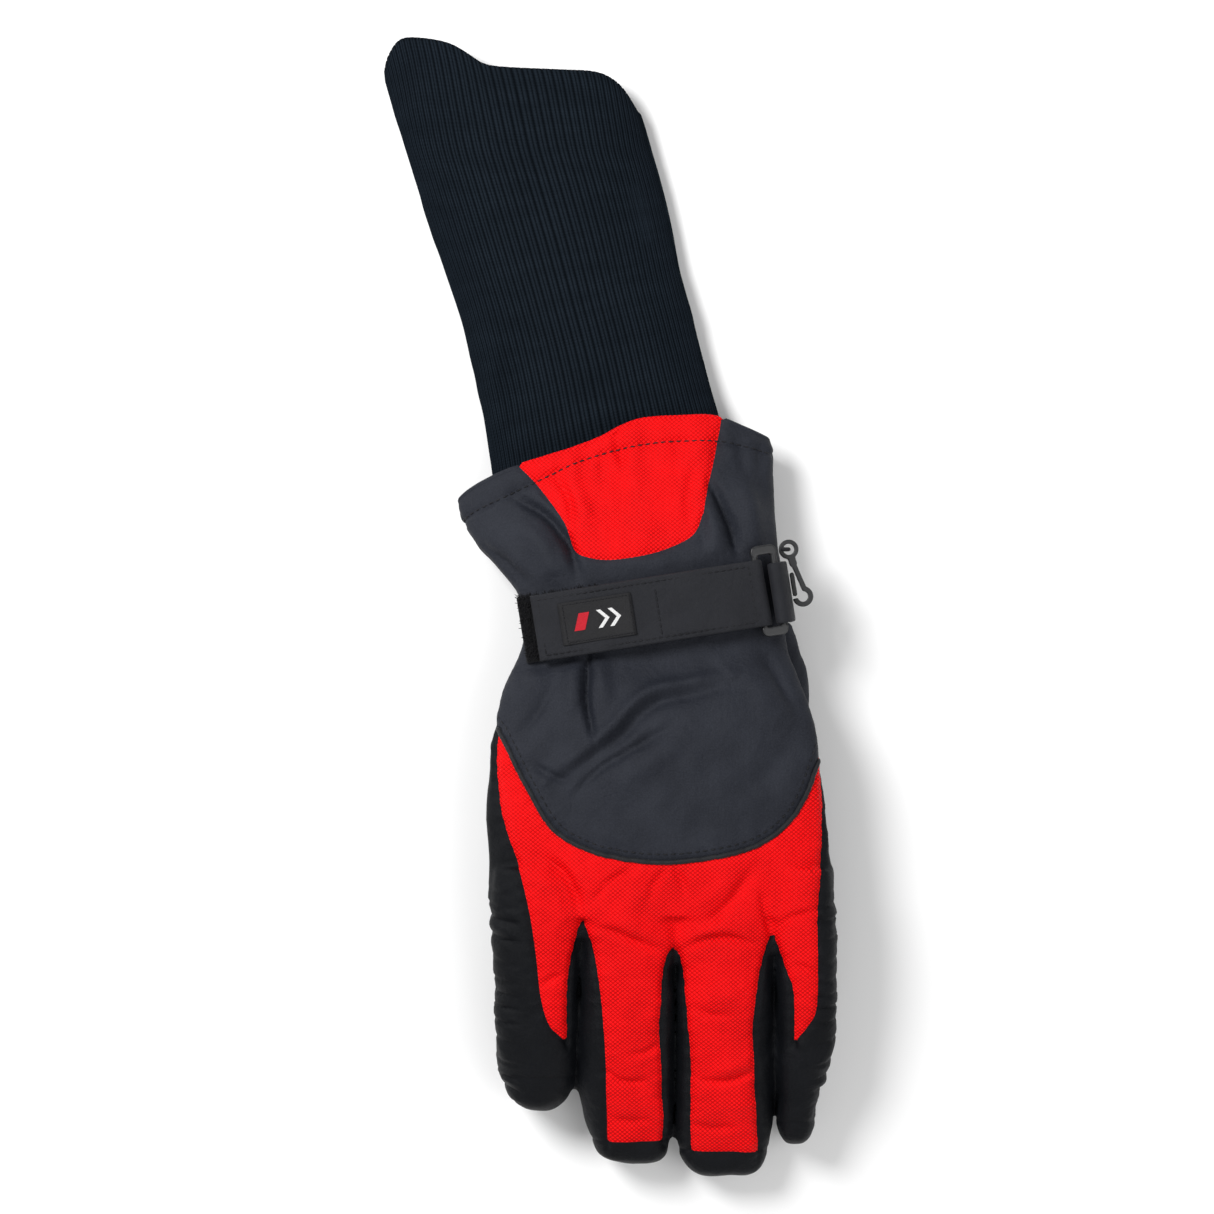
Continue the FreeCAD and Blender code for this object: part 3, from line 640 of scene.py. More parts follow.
def seam_groove(distance, depth=0.75, width=1.3, puff=0.45, puff_at=5.0):
    """A sewn seam: a narrow groove with fabric that swells beside it."""
    d = np.abs(distance)
    return -depth * bell(d, width) + puff * (d / puff_at) * np.exp(1 - d / puff_at)


def shell_shift(p, normals):
    """How far each point of the shell moves out along its normal."""
    x, y, z = p.T
    top = np.clip(normals[:, 2] * 1.6, 0, 1)
    under = np.clip(-normals[:, 2] * 1.6, 0, 1)
    side = 1 - np.clip(np.abs(normals[:, 2]) * 1.2, 0, 1)
    along, across = strap_place(p)
    shift = 0.35 * noise_field(p, 34.0, 3) + 0.16 * noise_field(p * [1, 0.6, 1], 11.0, 5)
    shift += 1.3 * top * crease_shift(p, BACK_CREASES) + under * crease_shift(p, PALM_CREASES)
    back, run = distance_to(p, LINES["back_seam"])
    shift += top * seam_groove(back)
    shift += top * bell(back, 5) * 0.22 * np.sin(run * 190 + 3 * np.sin(run * 23))
    for name in FINGERS:
        for line in RED[name]:
            d, run = distance_to(p, line)
            shift += top * seam_groove(d, 0.6, 1.1, 0.3, 4.0)
            shift += top * bell(d, 4) * 0.16 * np.sin(run * len(line) * 1.25)
        own = np.abs(y - CAP_SEAM[name]) < 12
        own &= finger_of(p) == FINGERS.index(name)
        shift[own] += seam_groove(y[own] - CAP_SEAM[name], 0.35, 0.9, 0.1, 3.0)
    back_side = normals[:, 2] > 0
    hem = y - hem_at(x, back_side)
    stitch = np.where(back_side, y - y_on(LINES["hem_stitch"], x), hem + HEM_STITCH_IN)
    shift += -0.9 * bell(stitch, 1.2) + 0.6 * bell(hem + 4.0, 3.0)
    gathers = np.sin(x * 0.62 + 2.2 * np.sin(x * 0.11))
    shift += ease(y, 20, 50) * 0.5 * gathers * bell(stitch + 3, 7)
    for line in ("insert_left", "insert_right", "insert_low"):
        d, _ = distance_to(p, LINES[line])
        shift += top * seam_groove(d, 0.6, 1.2, 0.3, 4.0)
    seam = z - mid_height(p)
    shift += side * (-0.6 * bell(seam, 1.3))
    fingers = ease(-y, 96, 120)
    outer = np.clip(np.clip((x - 76) / 5, 0, 1) + np.clip((-32 - x) / 5, 0, 1), 0, 1)
    wrinkle = np.sin(y * 0.52 + 2.6 * np.sin(y * 0.11 + 1) + x * 0.22 + z * 0.08)
    patchy = 0.5 + 0.5 * np.sin(y * 0.19 + x * 0.05 + 0.7)
    tuck = (0.5 + 0.5 * np.sin(y * 0.92 + 1.7 * np.sin(y * 0.17) + 0.25 * z)) ** 7
    shift += fingers * outer * (0.5 * wrinkle * patchy - 1.1 * tuck * (0.4 + 0.6 * patchy))
    shift += ease(-y, 130, 150) * (1 - outer) * 0.22 * np.sin(y * 0.30 + x * 0.16 + np.sin(y * 0.1))
    shift += top * 0.55 * ridged(p, 24.0, 31) + top * 0.28 * ridged(p, 11.0, 32)
    # The palm side is gathered by elastic at the wrist, in two wavy rows.
    rows = (across - 1.0 - 1.2 * np.sin(along * 0.30), across - 15.0 - 1.2 * np.sin(along * 0.27 + 1))
    gather = np.exp(-((across - 8.0) / 15.0) ** 4) * np.clip((52 - np.abs(x - 14)) / 10, 0, 1)
    pleat = np.abs(np.sin(along * 0.36 + 0.9 * np.sin(along * 0.13 + across * 0.12)))
    shift += under * gather * (2.6 * pleat - 1.2)
    for row in rows:
        shift -= under * gather * 1.5 * bell(row, 1.9)
    grip = grip_inside(p)
    shift += under * np.clip(grip / 1.2, 0, 1) * 0.5 - under * 0.6 * bell(grip - 2.2, 0.9)
    return shift


def under_strap(points):
    """The strap holds the cuff in: nothing of the shell reaches the strap's underside."""
    along, across = strap_place(points)
    low = np.minimum(points[:, 2], SHELL_ARCH - along ** 2 / (2 * ARCH_RADIUS))
    press = ease(-np.abs(across), -18.0, -12.0)
    out = points.copy()
    out[:, 2] = points[:, 2] * (1 - press) + low * press
    return out


def layer_of(rest, points, triangles, names):
    """A layer of cloth: rest and final points, the normals of both, triangles and their names."""
    return (rest, points, vertex_normals(points, triangles), vertex_normals(rest, triangles),
            triangles, names)


def build_shell():
    parts = [lofted(hand_rings())] + [lofted(finger_rings(n)) for n in FINGERS]
    rest, triangles = remeshed("shell_blank", parts, VOXEL, 5)
    normals = vertex_normals(rest, triangles)
    shift = shell_shift(rest, normals)
    points = under_strap(rest + normals * shift[:, None])
    points[:, 2] = np.maximum(points[:, 2], FLOOR_GAP)
    return layer_of(*cut_by_label(rest, points, triangles, shell_label))


# ---------------------------------------------------------------- materials
class Look:
    """A procedural material as it is built, from a plain shader to one with colour and bump."""

    def __init__(self, name, color, roughness, specular=0.5, sheen=0.0, sheen_roughness=0.5):
        self.material = bpy.data.materials.new(name)
        self.material.use_nodes = True
        self.tree = self.material.node_tree
        self.shader = self.tree.nodes["Principled BSDF"]
        for key, value in (("Base Color", (*color, 1)), ("Roughness", roughness),
                           ("Specular IOR Level", specular), ("Sheen Weight", sheen),
                           ("Sheen Roughness", sheen_roughness)):
            self.shader.inputs[key].default_value = value

    def node(self, kind, vector=None, **values):
        node = self.tree.nodes.new("ShaderNode" + kind)
        for key, value in values.items():
            if key in node.inputs:
                node.inputs[key].default_value = value
            else:
                setattr(node, key, value)
        if vector is not None:
            self.tree.links.new(vector, node.inputs["Vector"])
        return node

    def weave(self):
        """The weave map, in millimetres, and its two coordinates."""
        uv = self.node("UVMap").outputs["UV"]
        split = self.node("SeparateXYZ", uv)
        return uv, split.outputs["X"], split.outputs["Y"]

    def noise(self, vector, scale, detail, roughness=0.5, distortion=0.0):
        return self.node("TexNoise", vector, Scale=scale, Detail=detail, Roughness=roughness,
                         Distortion=distortion).outputs["Fac"]

    def math(self, operation, a, b=None):
        node = self.node("Math", operation=operation)
        for socket, value in zip(node.inputs, (a, b)):
            if isinstance(value, (int, float)):
                socket.default_value = value
            elif value is not None:
                self.tree.links.new(value, socket)
        return node.outputs[0]

    def times(self, a, b):
        return self.math("MULTIPLY", a, b)

    def plus(self, a, b):
        return self.math("ADD", a, b)

    def remap(self, value, low, high, to_low, to_high, kind="LINEAR"):
        node = self.node("MapRange", interpolation_type=kind,
                         **{"From Min": low, "From Max": high, "To Min": to_low, "To Max": to_high})
        self.tree.links.new(value, node.inputs["Value"])
        return node.outputs["Result"]

    def finish(self, tone, dark, light, height, distance, strength=1.0):
        """Colour from dark to light by a 0 to 1 tone, and bump by a height."""
        mix = self.node("Mix", data_type="RGBA")
        self.tree.links.new(tone, mix.inputs["Factor"])
        for key, color in (("A", dark), ("B", light)):
            mix.inputs[key].default_value = (*color, 1)
        bump = self.node("Bump", Strength=strength, Distance=distance * MM)
        for value, socket in ((mix.outputs["Result"], self.shader.inputs["Base Color"]),
                              (height, bump.inputs["Height"]),
                              (bump.outputs["Normal"], self.shader.inputs["Normal"])):
            self.tree.links.new(value, socket)
        return self.material


def cloth_material(name, dark, light, pitch_x, pitch_y, depth, roughness, sheen, diamond=False,
                   contrast=0.35, rumple=0.9, specular=0.22, mottle=0.25):
    """Woven cloth: crossed threads, or small offset diamonds for a dobby weave."""
    look = Look(name, light, roughness, specular, sheen, 0.45)
    uv, x, y = look.weave()
    a, b = look.times(x, 2 * math.pi / pitch_x), look.times(y, 2 * math.pi / pitch_y)
    if diamond:
        a, b = (look.times(look.math(op, a, b), 0.5) for op in ("ADD", "SUBTRACT"))
    weave = look.math("ABSOLUTE", look.times(look.math("SINE", a), look.math("SINE", b)))
    cloud = look.noise(uv, 0.06, 5.0, 0.6)
    fibre = look.noise(uv, 1.7, 3.0)
    crumple = look.noise(uv, 0.11, 5.0, 0.62, 0.5)
    tone = look.plus(look.times(cloud, 0.75), look.times(weave, contrast))
    tone = look.plus(tone, look.times(fibre, mottle))
    tone = look.math("SUBTRACT", tone, 0.05 + mottle / 2 + (contrast - 0.35) * 0.25)
    height = look.plus(weave, look.times(fibre, 0.5))
    height = look.plus(height, look.times(crumple, rumple / depth))
    return look.finish(tone, dark, light, height, depth)


def grip_material(name, cell, depth):
    """Embossed leather: raised rounded scales with narrow grooves between them; painted shade darkens the
    grooves.
    """
    look = Look(name, (0.02, 0.021, 0.023), 0.5, 0.3)
    uv, _, _ = look.weave()
    squeeze = look.node("Mapping", uv, Scale=(1.0, 1.3, 1.0)).outputs["Vector"]
    scale = look.node("TexVoronoi", squeeze, Scale=1 / cell, feature="DISTANCE_TO_EDGE", Randomness=0.5)
    raised = look.remap(scale.outputs["Distance"], 0.02, 0.3, 0.0, 1.0, "SMOOTHSTEP")
    look.tree.links.new(look.remap(raised, 0.0, 1.0, 0.65, 0.4), look.shader.inputs["Roughness"])
    height = look.plus(raised, look.times(look.noise(uv, 1.5, 4.0), 0.25))
    # Colour follows the scales' height: painted shade, darkest in the grooves, on the leather's own colour.
    return look.finish(raised, (0.002, 0.002, 0.0024), (0.017, 0.0175, 0.019), height, depth)


def nap_material(name, dark, light, scale, depth, sheen):
    """Suede, pile or fleece: a short soft nap."""
    look = Look(name, light, 0.95, 0.05, sheen, 0.6)
    uv, _, _ = look.weave()
    nap, brushed = look.noise(uv, scale, 6.0, 0.7), look.noise(uv, 0.05, 4.0, 0.5, 0.6)
    return look.finish(look.plus(look.times(nap, 0.5), look.times(brushed, 0.5)), dark, light, nap, depth)


def knit_material(name):
    """Fine rib knit: small slanted loops up each rib, with painted shade in the grooves between ribs. The
    map's x counts ribs.
    """
    look = Look(name, (0.012, 0.019, 0.027), 0.92, 0.05)
    uv, x, y = look.weave()
    wale = look.times(x, 2 * math.pi)
    lean = look.math("ABSOLUTE", look.math("SINE", wale))
    groove = look.math("POWER", look.math("ABSOLUTE", look.math("SINE", look.times(wale, 0.5))), 0.6)
    loop = look.math("SINE", look.plus(look.times(y, 2 * math.pi / 1.1), look.times(lean, 2.2)))
    fuzz, cloud = look.noise(uv, 1.4, 5.0, 0.7), look.noise(uv, 0.16, 4.0)
    # Tone is darkest where the rib shape dips, most in the grooves between ribs: painted shade.
    tone = look.plus(look.times(look.times(lean, groove), 0.8), look.times(loop, 0.05))
    tone = look.math("SUBTRACT", look.plus(tone, look.times(fuzz, 0.5)), 0.3)
    tone = look.times(tone, look.remap(cloud, 0.0, 1.0, 0.45, 1.35))
    height = look.plus(look.times(loop, 0.35), look.times(fuzz, 1.6))
    return look.finish(tone, (0.0014, 0.0026, 0.0042), (0.0135, 0.0200, 0.0285), height, 0.12)


def plastic_material(name, color, roughness):
    look = Look(name, color, roughness)
    place = look.node("TexCoord").outputs["Object"]
    grain, wear = look.noise(place, 900.0, 3.0), look.noise(place, 120.0, 4.0)
    return look.finish(wear, tuple(c * 0.7 for c in color), tuple(c * 1.35 for c in color), grain, 0.03, 0.6)


MATERIALS = {
    "charcoal": cloth_material("charcoal_shell", (0.006, 0.007, 0.011), (0.026, 0.029, 0.039), 0.9, 0.62,
                               0.06, 0.62, 0.0, contrast=0.4, specular=0.16, mottle=0.9),
    "black": cloth_material("black_shell", (0.0012, 0.0015, 0.002), (0.0072, 0.008, 0.0104), 0.9, 0.62,
                            0.06, 0.5, 0.0, specular=0.1, mottle=0.7),
    "red": cloth_material("red_shell", (0.38, 0.0006, 0.0008), (0.98, 0.004, 0.006), 1.8, 1.5, 0.26, 0.6,
                          0.0, True, 1.3, specular=0.08),
    "grip": grip_material("grip_leather", 2.6, 0.4),
    "finger_grip": grip_material("finger_grip_leather", 2.2, 0.4),
    "suede": nap_material("suede", (0.0012, 0.0012, 0.0015), (0.008, 0.008, 0.009), 3.0, 0.12, 0.06),
    "pile": nap_material("pile", (0.001, 0.001, 0.0014), (0.008, 0.008, 0.0095), 1.2, 0.6, 0.05),
    "fleece": nap_material("fleece", (0.008, 0.008, 0.009), (0.028, 0.028, 0.03), 0.9, 0.5, 0.3),
    "knit": knit_material("rib_knit"),
    "lining_cloth": cloth_material("elastic_band", (0.01, 0.01, 0.012), (0.03, 0.03, 0.034), 1.2, 0.6, 0.1,
                                   0.7, 0.0),
    "piping": cloth_material("piping", (0.004, 0.004, 0.006), (0.016, 0.017, 0.02), 0.7, 0.7, 0.06, 0.55,
                             0.1),
    "webbing": cloth_material("webbing", (0.006, 0.0065, 0.009), (0.018, 0.019, 0.024), 0.7, 0.42, 0.07,
                              0.6, 0.03),
    "thread": cloth_material("thread", (0.004, 0.004, 0.005), (0.02, 0.02, 0.024), 0.4, 0.4, 0.04, 0.5, 0.0),
    "label": cloth_material("label_cloth", (0.006, 0.006, 0.007), (0.018, 0.018, 0.02), 0.45, 0.4, 0.05,
                            0.6, 0.0),
    "label_red": cloth_material("label_red", (0.42, 0.01, 0.02), (0.62, 0.02, 0.035), 0.4, 0.4, 0.08, 0.5,
                                0.0),
    "label_white": cloth_material("label_white", (0.62, 0.62, 0.62), (0.85, 0.85, 0.85), 0.4, 0.4, 0.08,
                                  0.5, 0.0),
    "plastic": plastic_material("moulded_plastic", (0.010, 0.0105, 0.012), 0.42),
}

# A piece's look: its material and its slot.
CHARCOAL, BLACK = ("charcoal", "charcoal_shell"), ("black", "black_shell")
RED_CLOTH, LEATHER = ("red", "red_shell"), ("finger_grip", "grip")
FLEECE, THREAD, PLASTIC = ("fleece", "lining"), ("thread", "piping"), ("plastic", "plastic")
WEBBING_LOOK, PILE = ("webbing", "webbing"), ("pile", "pile")
PANELS = {
    "back_panel": CHARCOAL, "knuckle_panel": RED_CLOTH, "pinky_side_panel": BLACK,
    "index_side_panel": BLACK, "palm_panel": CHARCOAL, "palm_grip_patch": ("grip", "grip"),
    "cuff_insert": RED_CLOTH, "cuff_back_left": CHARCOAL, "cuff_back_right": CHARCOAL,
    "cuff_palm_panel": CHARCOAL, "finger_webs": BLACK,
}
FINGER_PALM = ("charcoal", "black_shell")
PALM_LOOKS = {"pinky": FINGER_PALM, "ring": FINGER_PALM, "middle": LEATHER, "index": LEATHER}
PANEL_THICKNESS = 1.1
LAYER_THICKNESS = 1.0
THIN = 0.9


def finish_piece(obj, look, slot, body=None, replaced=None):
    """Gives a piece its material and the body it rides on, and hides the CAD node it stands for; slot is not
    used.
    """
    obj.data.materials.append(MATERIALS[look])
    if body:
        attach(obj, body)
    if replaced:
        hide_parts(replaced)
    return obj


def cloth_piece(name, layer, thickness, look, slot, body=None, replaced=True):
    """The panel of a layer that stands for the CAD node of that name."""
    return finish_piece(panel(name, layer, thickness), look, slot, body, name if replaced else None)


def make_panels(shell):
    for name, looks in PANELS.items():
        cloth_piece(name, shell, PANEL_THICKNESS, *looks, "hand", name != "finger_webs")
    made = set(np.unique(shell[5]))
    for finger in FINGERS:
        for part in ("back", "palm", "gussets", "outer_panel", "tip_cap"):
            looks = {"back": RED_CLOTH, "palm": PALM_LOOKS[finger]}.get(part, BLACK)
            if finger + "_" + part in made:
                bend_finger(cloth_piece(finger + "_" + part, shell, PANEL_THICKNESS, *looks))


def bend_finger(obj):
    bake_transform(obj)


# ---------------------------------------------------------------- swept pieces
def end_faces(rows, around):
    return [tuple(range(around)), tuple(reversed(range((rows - 1) * around, rows * around)))]


def tube_mesh(path, radius, around):
    """A round tube along a path, with rounded ends; returns vertices and faces."""
    path = np.array(path, float)
    run = unit(np.gradient(path, axis=0))
    up = unit(np.cross(run, [0.13, 0.31, 0.94]))
    aside = np.cross(run, up)
    angle = np.linspace(0, 2 * np.pi, around, endpoint=False)
    size = np.full(len(path), float(radius))
    size[[0, -1]] *= 0.45
    rings = (path[:, None] + size[:, None, None]
             * (np.cos(angle)[None, :, None] * up[:, None] + np.sin(angle)[None, :, None] * aside[:, None]))
    return rings.reshape(-1, 3), tube_faces(len(path), around, False) + end_faces(len(path), around)


def plain_uv(obj):
    """Weave coordinates straight from the plan."""
    set_weave(obj.data, coordinates(obj.data)[corners_of(obj.data)][:, :2])
    return obj


def flat_object(name, vertices, faces, smooth=True):
    return plain_uv(new_object(name, vertices * MM, faces, smooth))


def resampled(path, spacing):
    path = np.array(path, float)
    run = run_along(path)
    at = np.linspace(0, run[-1], max(2, int(round(run[-1] / spacing)) + 1))
    return np.column_stack([np.interp(at, run, path[:, k]) for k in range(path.shape[1])])


def stitches(path, lift, length, gap, radius):
    """Separate stitches along a path on a surface; lift is the way out of the cloth."""
    fine = resampled(path, 0.25)
    lift = np.broadcast_to(lift, (len(path), 3)) if np.ndim(lift) < 2 else lift
    up = np.column_stack([np.interp(np.linspace(0, 1, len(fine)), np.linspace(0, 1, len(path)), lift[:, k])
                          for k in range(3)])
    count, step = int(length / 0.25), int((length + gap) / 0.25)
    bow = np.sin(np.linspace(0, np.pi, 5)) * radius * 1.2 - radius * 0.5
    parts = []
    for i in range(0, len(fine) - count, step):
        rows = np.linspace(i, i + count, 5).astype(int)
        parts.append(tube_mesh(fine[rows] + up[rows] * bow[:, None], radius, 6))
    return joined(parts)


def ribbon_mesh(path, across, width, thickness, segments, wave):
    """A band of cloth with rounded edges along a path; across is the band's width direction."""
    half, edge = width / 2, thickness / 2
    flat_part = np.linspace(-half + edge, half - edge, segments)
    round_part = np.linspace(np.pi / 2, -np.pi / 2, 5)[1:-1]
    ring = [(a, edge) for a in flat_part]
    ring += [(half - edge + edge * math.cos(t), edge * math.sin(t)) for t in round_part]
    ring += [(a, -edge) for a in flat_part[::-1]]
    ring += [(-half + edge - edge * math.cos(t), -edge * math.sin(t)) for t in round_part]
    ring = np.array(ring)
    rings, around = [], len(ring)
    for k, (p, n) in enumerate(zip(path, unit(np.cross(np.gradient(path, axis=0), across)))):
        lift = ring[:, 1] + (wave(k / (len(path) - 1), ring[:, 0]) if wave else 0)
        rings.append(p + ring[:, :1] * across + lift[:, None] * n)
    uv = np.array([(r, a) for r in run_along(path) for a in ring[:, 0]])
    return np.vstack(rings), tube_faces(len(path), around, False) + end_faces(len(path), around), uv


def swept_object(name, band):
    """A band as an object, with its weave along its length."""
    vertices, faces, uv = band
    obj = new_object(name, vertices * MM, faces)
    set_weave(obj.data, uv[corners_of(obj.data)])
    return obj


# ---------------------------------------------------------------- on the shell's surface
def surface_tree(points, triangles):
    return BVHTree.FromPolygons(points.tolist(), triangles.tolist())


def dropped(tree, plan, from_above=True):
    """Plan points laid on the surface, with the way out of it; points off it are left out."""
    height, down = (200.0, -1.0) if from_above else (-200.0, 1.0)
    places, normals = [], []
    for x, y in plan:
        hit, normal, _, _ = tree.ray_cast(Vector((x, y, height)), Vector((0, 0, down)))
        if hit is not None:
            places.append(hit)
            normals.append(normal if normal.z * down < 0 else -normal)
    return np.array(places), np.array(normals)


def offset_line(plan, distance):
    run = unit(np.gradient(plan, axis=0))
    return plan + np.column_stack([-run[:, 1], run[:, 0]]) * distance


def surface_stitches(name, tree, plans, above, **sizes):
    """Rows of stitches that ride on the hand, laid along plans on its upper or lower side."""
    parts = []
    for plan in plans:
        places, normals = dropped(tree, resampled(plan, 1.0), above)
        if len(places) > 4:
            parts.append(stitches(places, normals, **sizes))
    finish_piece(flat_object(name, *joined(parts)), *THREAD, "hand")


def make_piping(tree):
    places, normals = dropped(tree, resampled(LINES["back_seam"], 1.0))
    cord = tube_mesh(places + normals * 0.35, 0.95, 10)
    finish_piece(flat_object("back_piping_cord", *cord), "piping", "piping", "hand", "back_piping")


def rim_loop(triangles, names):
    """The longest closed loop of points where the kept cloth ends at the cut-off part."""
    kept, cut = triangles[names != "waste"], triangles[names == "waste"]

    def edge_set(faces):
        return {tuple(e) for e in np.sort(edges_of(faces), axis=1).tolist()}
    shared = edge_set(kept) & edge_set(cut)
    near = {}
    for a, b in shared:
        near.setdefault(a, []).append(b)
        near.setdefault(b, []).append(a)
    loops = []
    while near:
        start = min(near)
        loop, here = [start], start
        while near.get(here):
            nxt = near[here].pop()
            near[nxt].remove(here)
            here = nxt
            loop.append(here)
        for key in [k for k in near if not near[k]]:
            del near[key]
        loops.append(loop)
    return max(loops, key=len)


def closed_smooth(values, rounds):
    for _ in range(rounds):
        values = (np.roll(values, 1, 0) + values * 2 + np.roll(values, -1, 0)) / 4
    return values


HEM_DEPTH = 9.0  # of the facing inside the cuff's edge
HEM_GAP = 1.15  # between the shell's outside and the facing's
HEM_FOLD = 1.25  # radius of the turned edge


def hem_label(p):
    x, y, z = p.T
    upper = z > mid_height(p)
    hem = hem_at(x, upper)
    gathered = ~upper & (np.abs(strap_place(p)[1] - 8.0) < 11.0) & (np.abs(x - 15.0) < 42.0)
    names = np.full(len(p), "none", dtype=object)
    names[gathered] = "wrist_elastic"
    names[upper & (y > hem - HEM_DEPTH)] = "hem_back"
    names[~upper & (y > hem - HEM_DEPTH)] = "hem_palm"
    names[y > hem] = "waste"
    return names.astype(str)


def make_hem(shell):
    rest, points, normals, _, triangles, names = shell
    loop = rim_loop(triangles, names)
    path = closed_smooth(points[loop[:-1]], 6)
    lift = closed_smooth(normals[loop[:-1]], 10)
    centre = path - lift * 1.05
    base = rest[loop[:-1]]
    red = ((base[:, 2] > mid_height(base)) & (base[:, 0] > x_on(LINES["insert_left"], base[:, 1]))
           & (base[:, 0] < x_on(LINES["insert_right"], base[:, 1])))
    first = int(np.argmax(red & ~np.roll(red, 1)))
    centre, red = np.roll(centre, -first, 0), np.roll(red, -first)
    count = int(red.sum())
    for name, part, looks in (("insert_hem_fold", centre[:count + 1], RED_CLOTH),
                              ("cuff_hem_fold", np.vstack([centre[count:], centre[:1]]), CHARCOAL)):
        fold = tube_mesh(resampled(part, 1.2), HEM_FOLD, 10)
        finish_piece(flat_object(name, *fold), *looks, "hand")
    keep = names != "waste"
    rest, points, triangles, names = cut_by_label(rest, points, triangles[keep], hem_label)
    inward = points - vertex_normals(points, triangles) * HEM_GAP
    layer = layer_of(rest, inward, triangles, names)
    for name, looks in (("hem_back", CHARCOAL), ("hem_palm", CHARCOAL),
                        ("wrist_elastic", ("lining_cloth", "elastic"))):
        cloth_piece(name, layer, THIN, *looks, "hand")


LINER_INSET = 2.7


def liner_label(p):
    names = shell_label(p)
    out = np.full(len(p), "hand_liner", dtype=object)
    out[strap_place(p)[1] > 0] = "cuff_lining"
    for finger in FINGERS:
        own = np.char.startswith(names, finger + "_") & ~np.char.endswith(names, "side_panel")
        out[own] = finger + "_liner"
    hem = hem_at(p[:, 0], p[:, 2] > mid_height(p))
    out[p[:, 1] > hem - HEM_DEPTH + 1.5] = "waste"
    return out.astype(str)


def make_liners():
    parts = [lofted(hand_rings(LINER_INSET))] + [lofted(finger_rings(n, LINER_INSET)) for n in FINGERS]
    rest, triangles = remeshed("liner_blank", parts, 2.2, 3)
    normals = vertex_normals(rest, triangles)
    points = under_strap(rest + normals * np.minimum(shell_shift(rest, normals), 0.0)[:, None])
    along, across = strap_place(points)
    below_strap = np.minimum(points[:, 2], LINER_ARCH - along ** 2 / (2 * ARCH_RADIUS))
    points[:, 2] = np.where(np.abs(across) < 16, below_strap, points[:, 2])
    layer = layer_of(*cut_by_label(rest, points, triangles, liner_label))
    for name in ["hand_liner", "cuff_lining"] + [f + "_liner" for f in FINGERS]:
        obj = cloth_piece(name, layer, LAYER_THICKNESS, *FLEECE)
        finger = name.removesuffix("_liner")
        if finger in FINGERS:
            bend_finger(obj)
        else:
            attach(obj, "hand")


# ---------------------------------------------------------------- thumb
THUMB_HINGE = np.array([58.0, -58.0])
THUMB_AIM = math.radians(-108.2)
THUMB_RUN = np.array([math.cos(THUMB_AIM), math.sin(THUMB_AIM)])
THUMB_SIDE = np.array([-math.sin(THUMB_AIM), math.cos(THUMB_AIM)])
THUMB_ROWS = ((-17, 9.5, 3.6, 19), (-10, 16.2, 1.2, 21.6), (0, 19, 0.4, 21.8),
              (30, 18.4, 0.3, 21.4), (58, 16.8, 0.3, 18.8), (80, 13.8, 0.4, 15.6),
              (92, 10.4, 1.2, 13.4), (98, 6.2, 3, 11), (101, 2, 5.4, 8.2))
THUMB_ROOT = (((34, -6), (70, -6), 12, 22), ((30, -13), (72.5, -13), 9, 22.5),
              ((24, -25), (76.5, -25), 4, 23), ((22.5, -36.4), (78, -36.4), 1.4, 23),
              ((24, -46), (78, -50), 1, 22), ((23.8, -58), (76.5, -63), 0.9, 21.6),
              ((23.6, -72), (72, -78), 0.6, 21), ((23.2, -86), (66, -91), 0.8, 20.2),
              ((23.6, -97), (61, -102), 1.4, 19), ((26.4, -105), (55, -109), 3, 16.8))
THUMB_SUEDE_TOP = ((18, -33), (26, -27), (40, -22), (56, -19.5), (72, -18), (84, -18))


def thumb_place(p):
    rel = p[:, :2] - THUMB_HINGE
    return rel @ THUMB_RUN, rel @ THUMB_SIDE


def thumb_rings():
    rings = []
    for at, half, low, high in smooth_line(THUMB_ROWS, STEP):
        middle = THUMB_HINGE + THUMB_RUN * at
        rings.append(ring_points(middle - THUMB_SIDE * half, middle + THUMB_SIDE * half, low, high, 2.15))
    return rings, [ring_points(*row, 2.3) for row in sections(THUMB_ROOT)]


def thumb_label(p):
    at, aside = thumb_place(p)
    x, y, z = p.T
    half = np.interp(at, [r[0] for r in THUMB_ROWS], [r[1] for r in THUMB_ROWS])
    middle = np.interp(at, [r[0] for r in THUMB_ROWS], [(r[2] + r[3]) / 2 for r in THUMB_ROWS])
    root = y > np.interp(x, [q[0] for q in THUMB_SUEDE_TOP], [q[1] for q in THUMB_SUEDE_TOP])
    lower = z < middle + 1.0
    names = np.full(len(p), "thumb_gussets", dtype=object)
    names[lower] = "thumb_wipe_panel"
    reach = np.interp(at, (-10.0, 0.0, 50.0, 58.0, 60.0), (40.0, 29.0, 15.0, 13.0, 0.0))
    inner = aside < -np.maximum(half * 0.78, reach)
    names[inner & (z < middle + 4.0)] = "thumb_grip_panel"
    names[(at < 4.0) & (inner | ~lower)] = "thumb_root_panel"
    names[root] = "thumb_root_panel"
    return names.astype(str)


def thumb_shift(p, normals):
    at, aside = thumb_place(p)
    under = np.clip(-normals[:, 2] * 1.5, 0, 1)
    shift = 0.4 * noise_field(p, 26.0, 11) + 0.15 * noise_field(p, 9.0, 12)
    shift -= 0.9 * under * bell(at - 20 + aside * 0.3, 4.5)
    shift -= 0.7 * under * bell(at - 52 - aside * 0.2, 5.0)
    seam, _ = distance_to(p, smooth_line(THUMB_SUEDE_TOP))
    shift += under * seam_groove(seam)
    return shift


THUMB_LOOKS = {"thumb_wipe_panel": ("suede", "suede"), "thumb_grip_panel": LEATHER,
               "thumb_gussets": BLACK, "thumb_root_panel": CHARCOAL}


def bend_thumb(obj):
    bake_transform(obj)


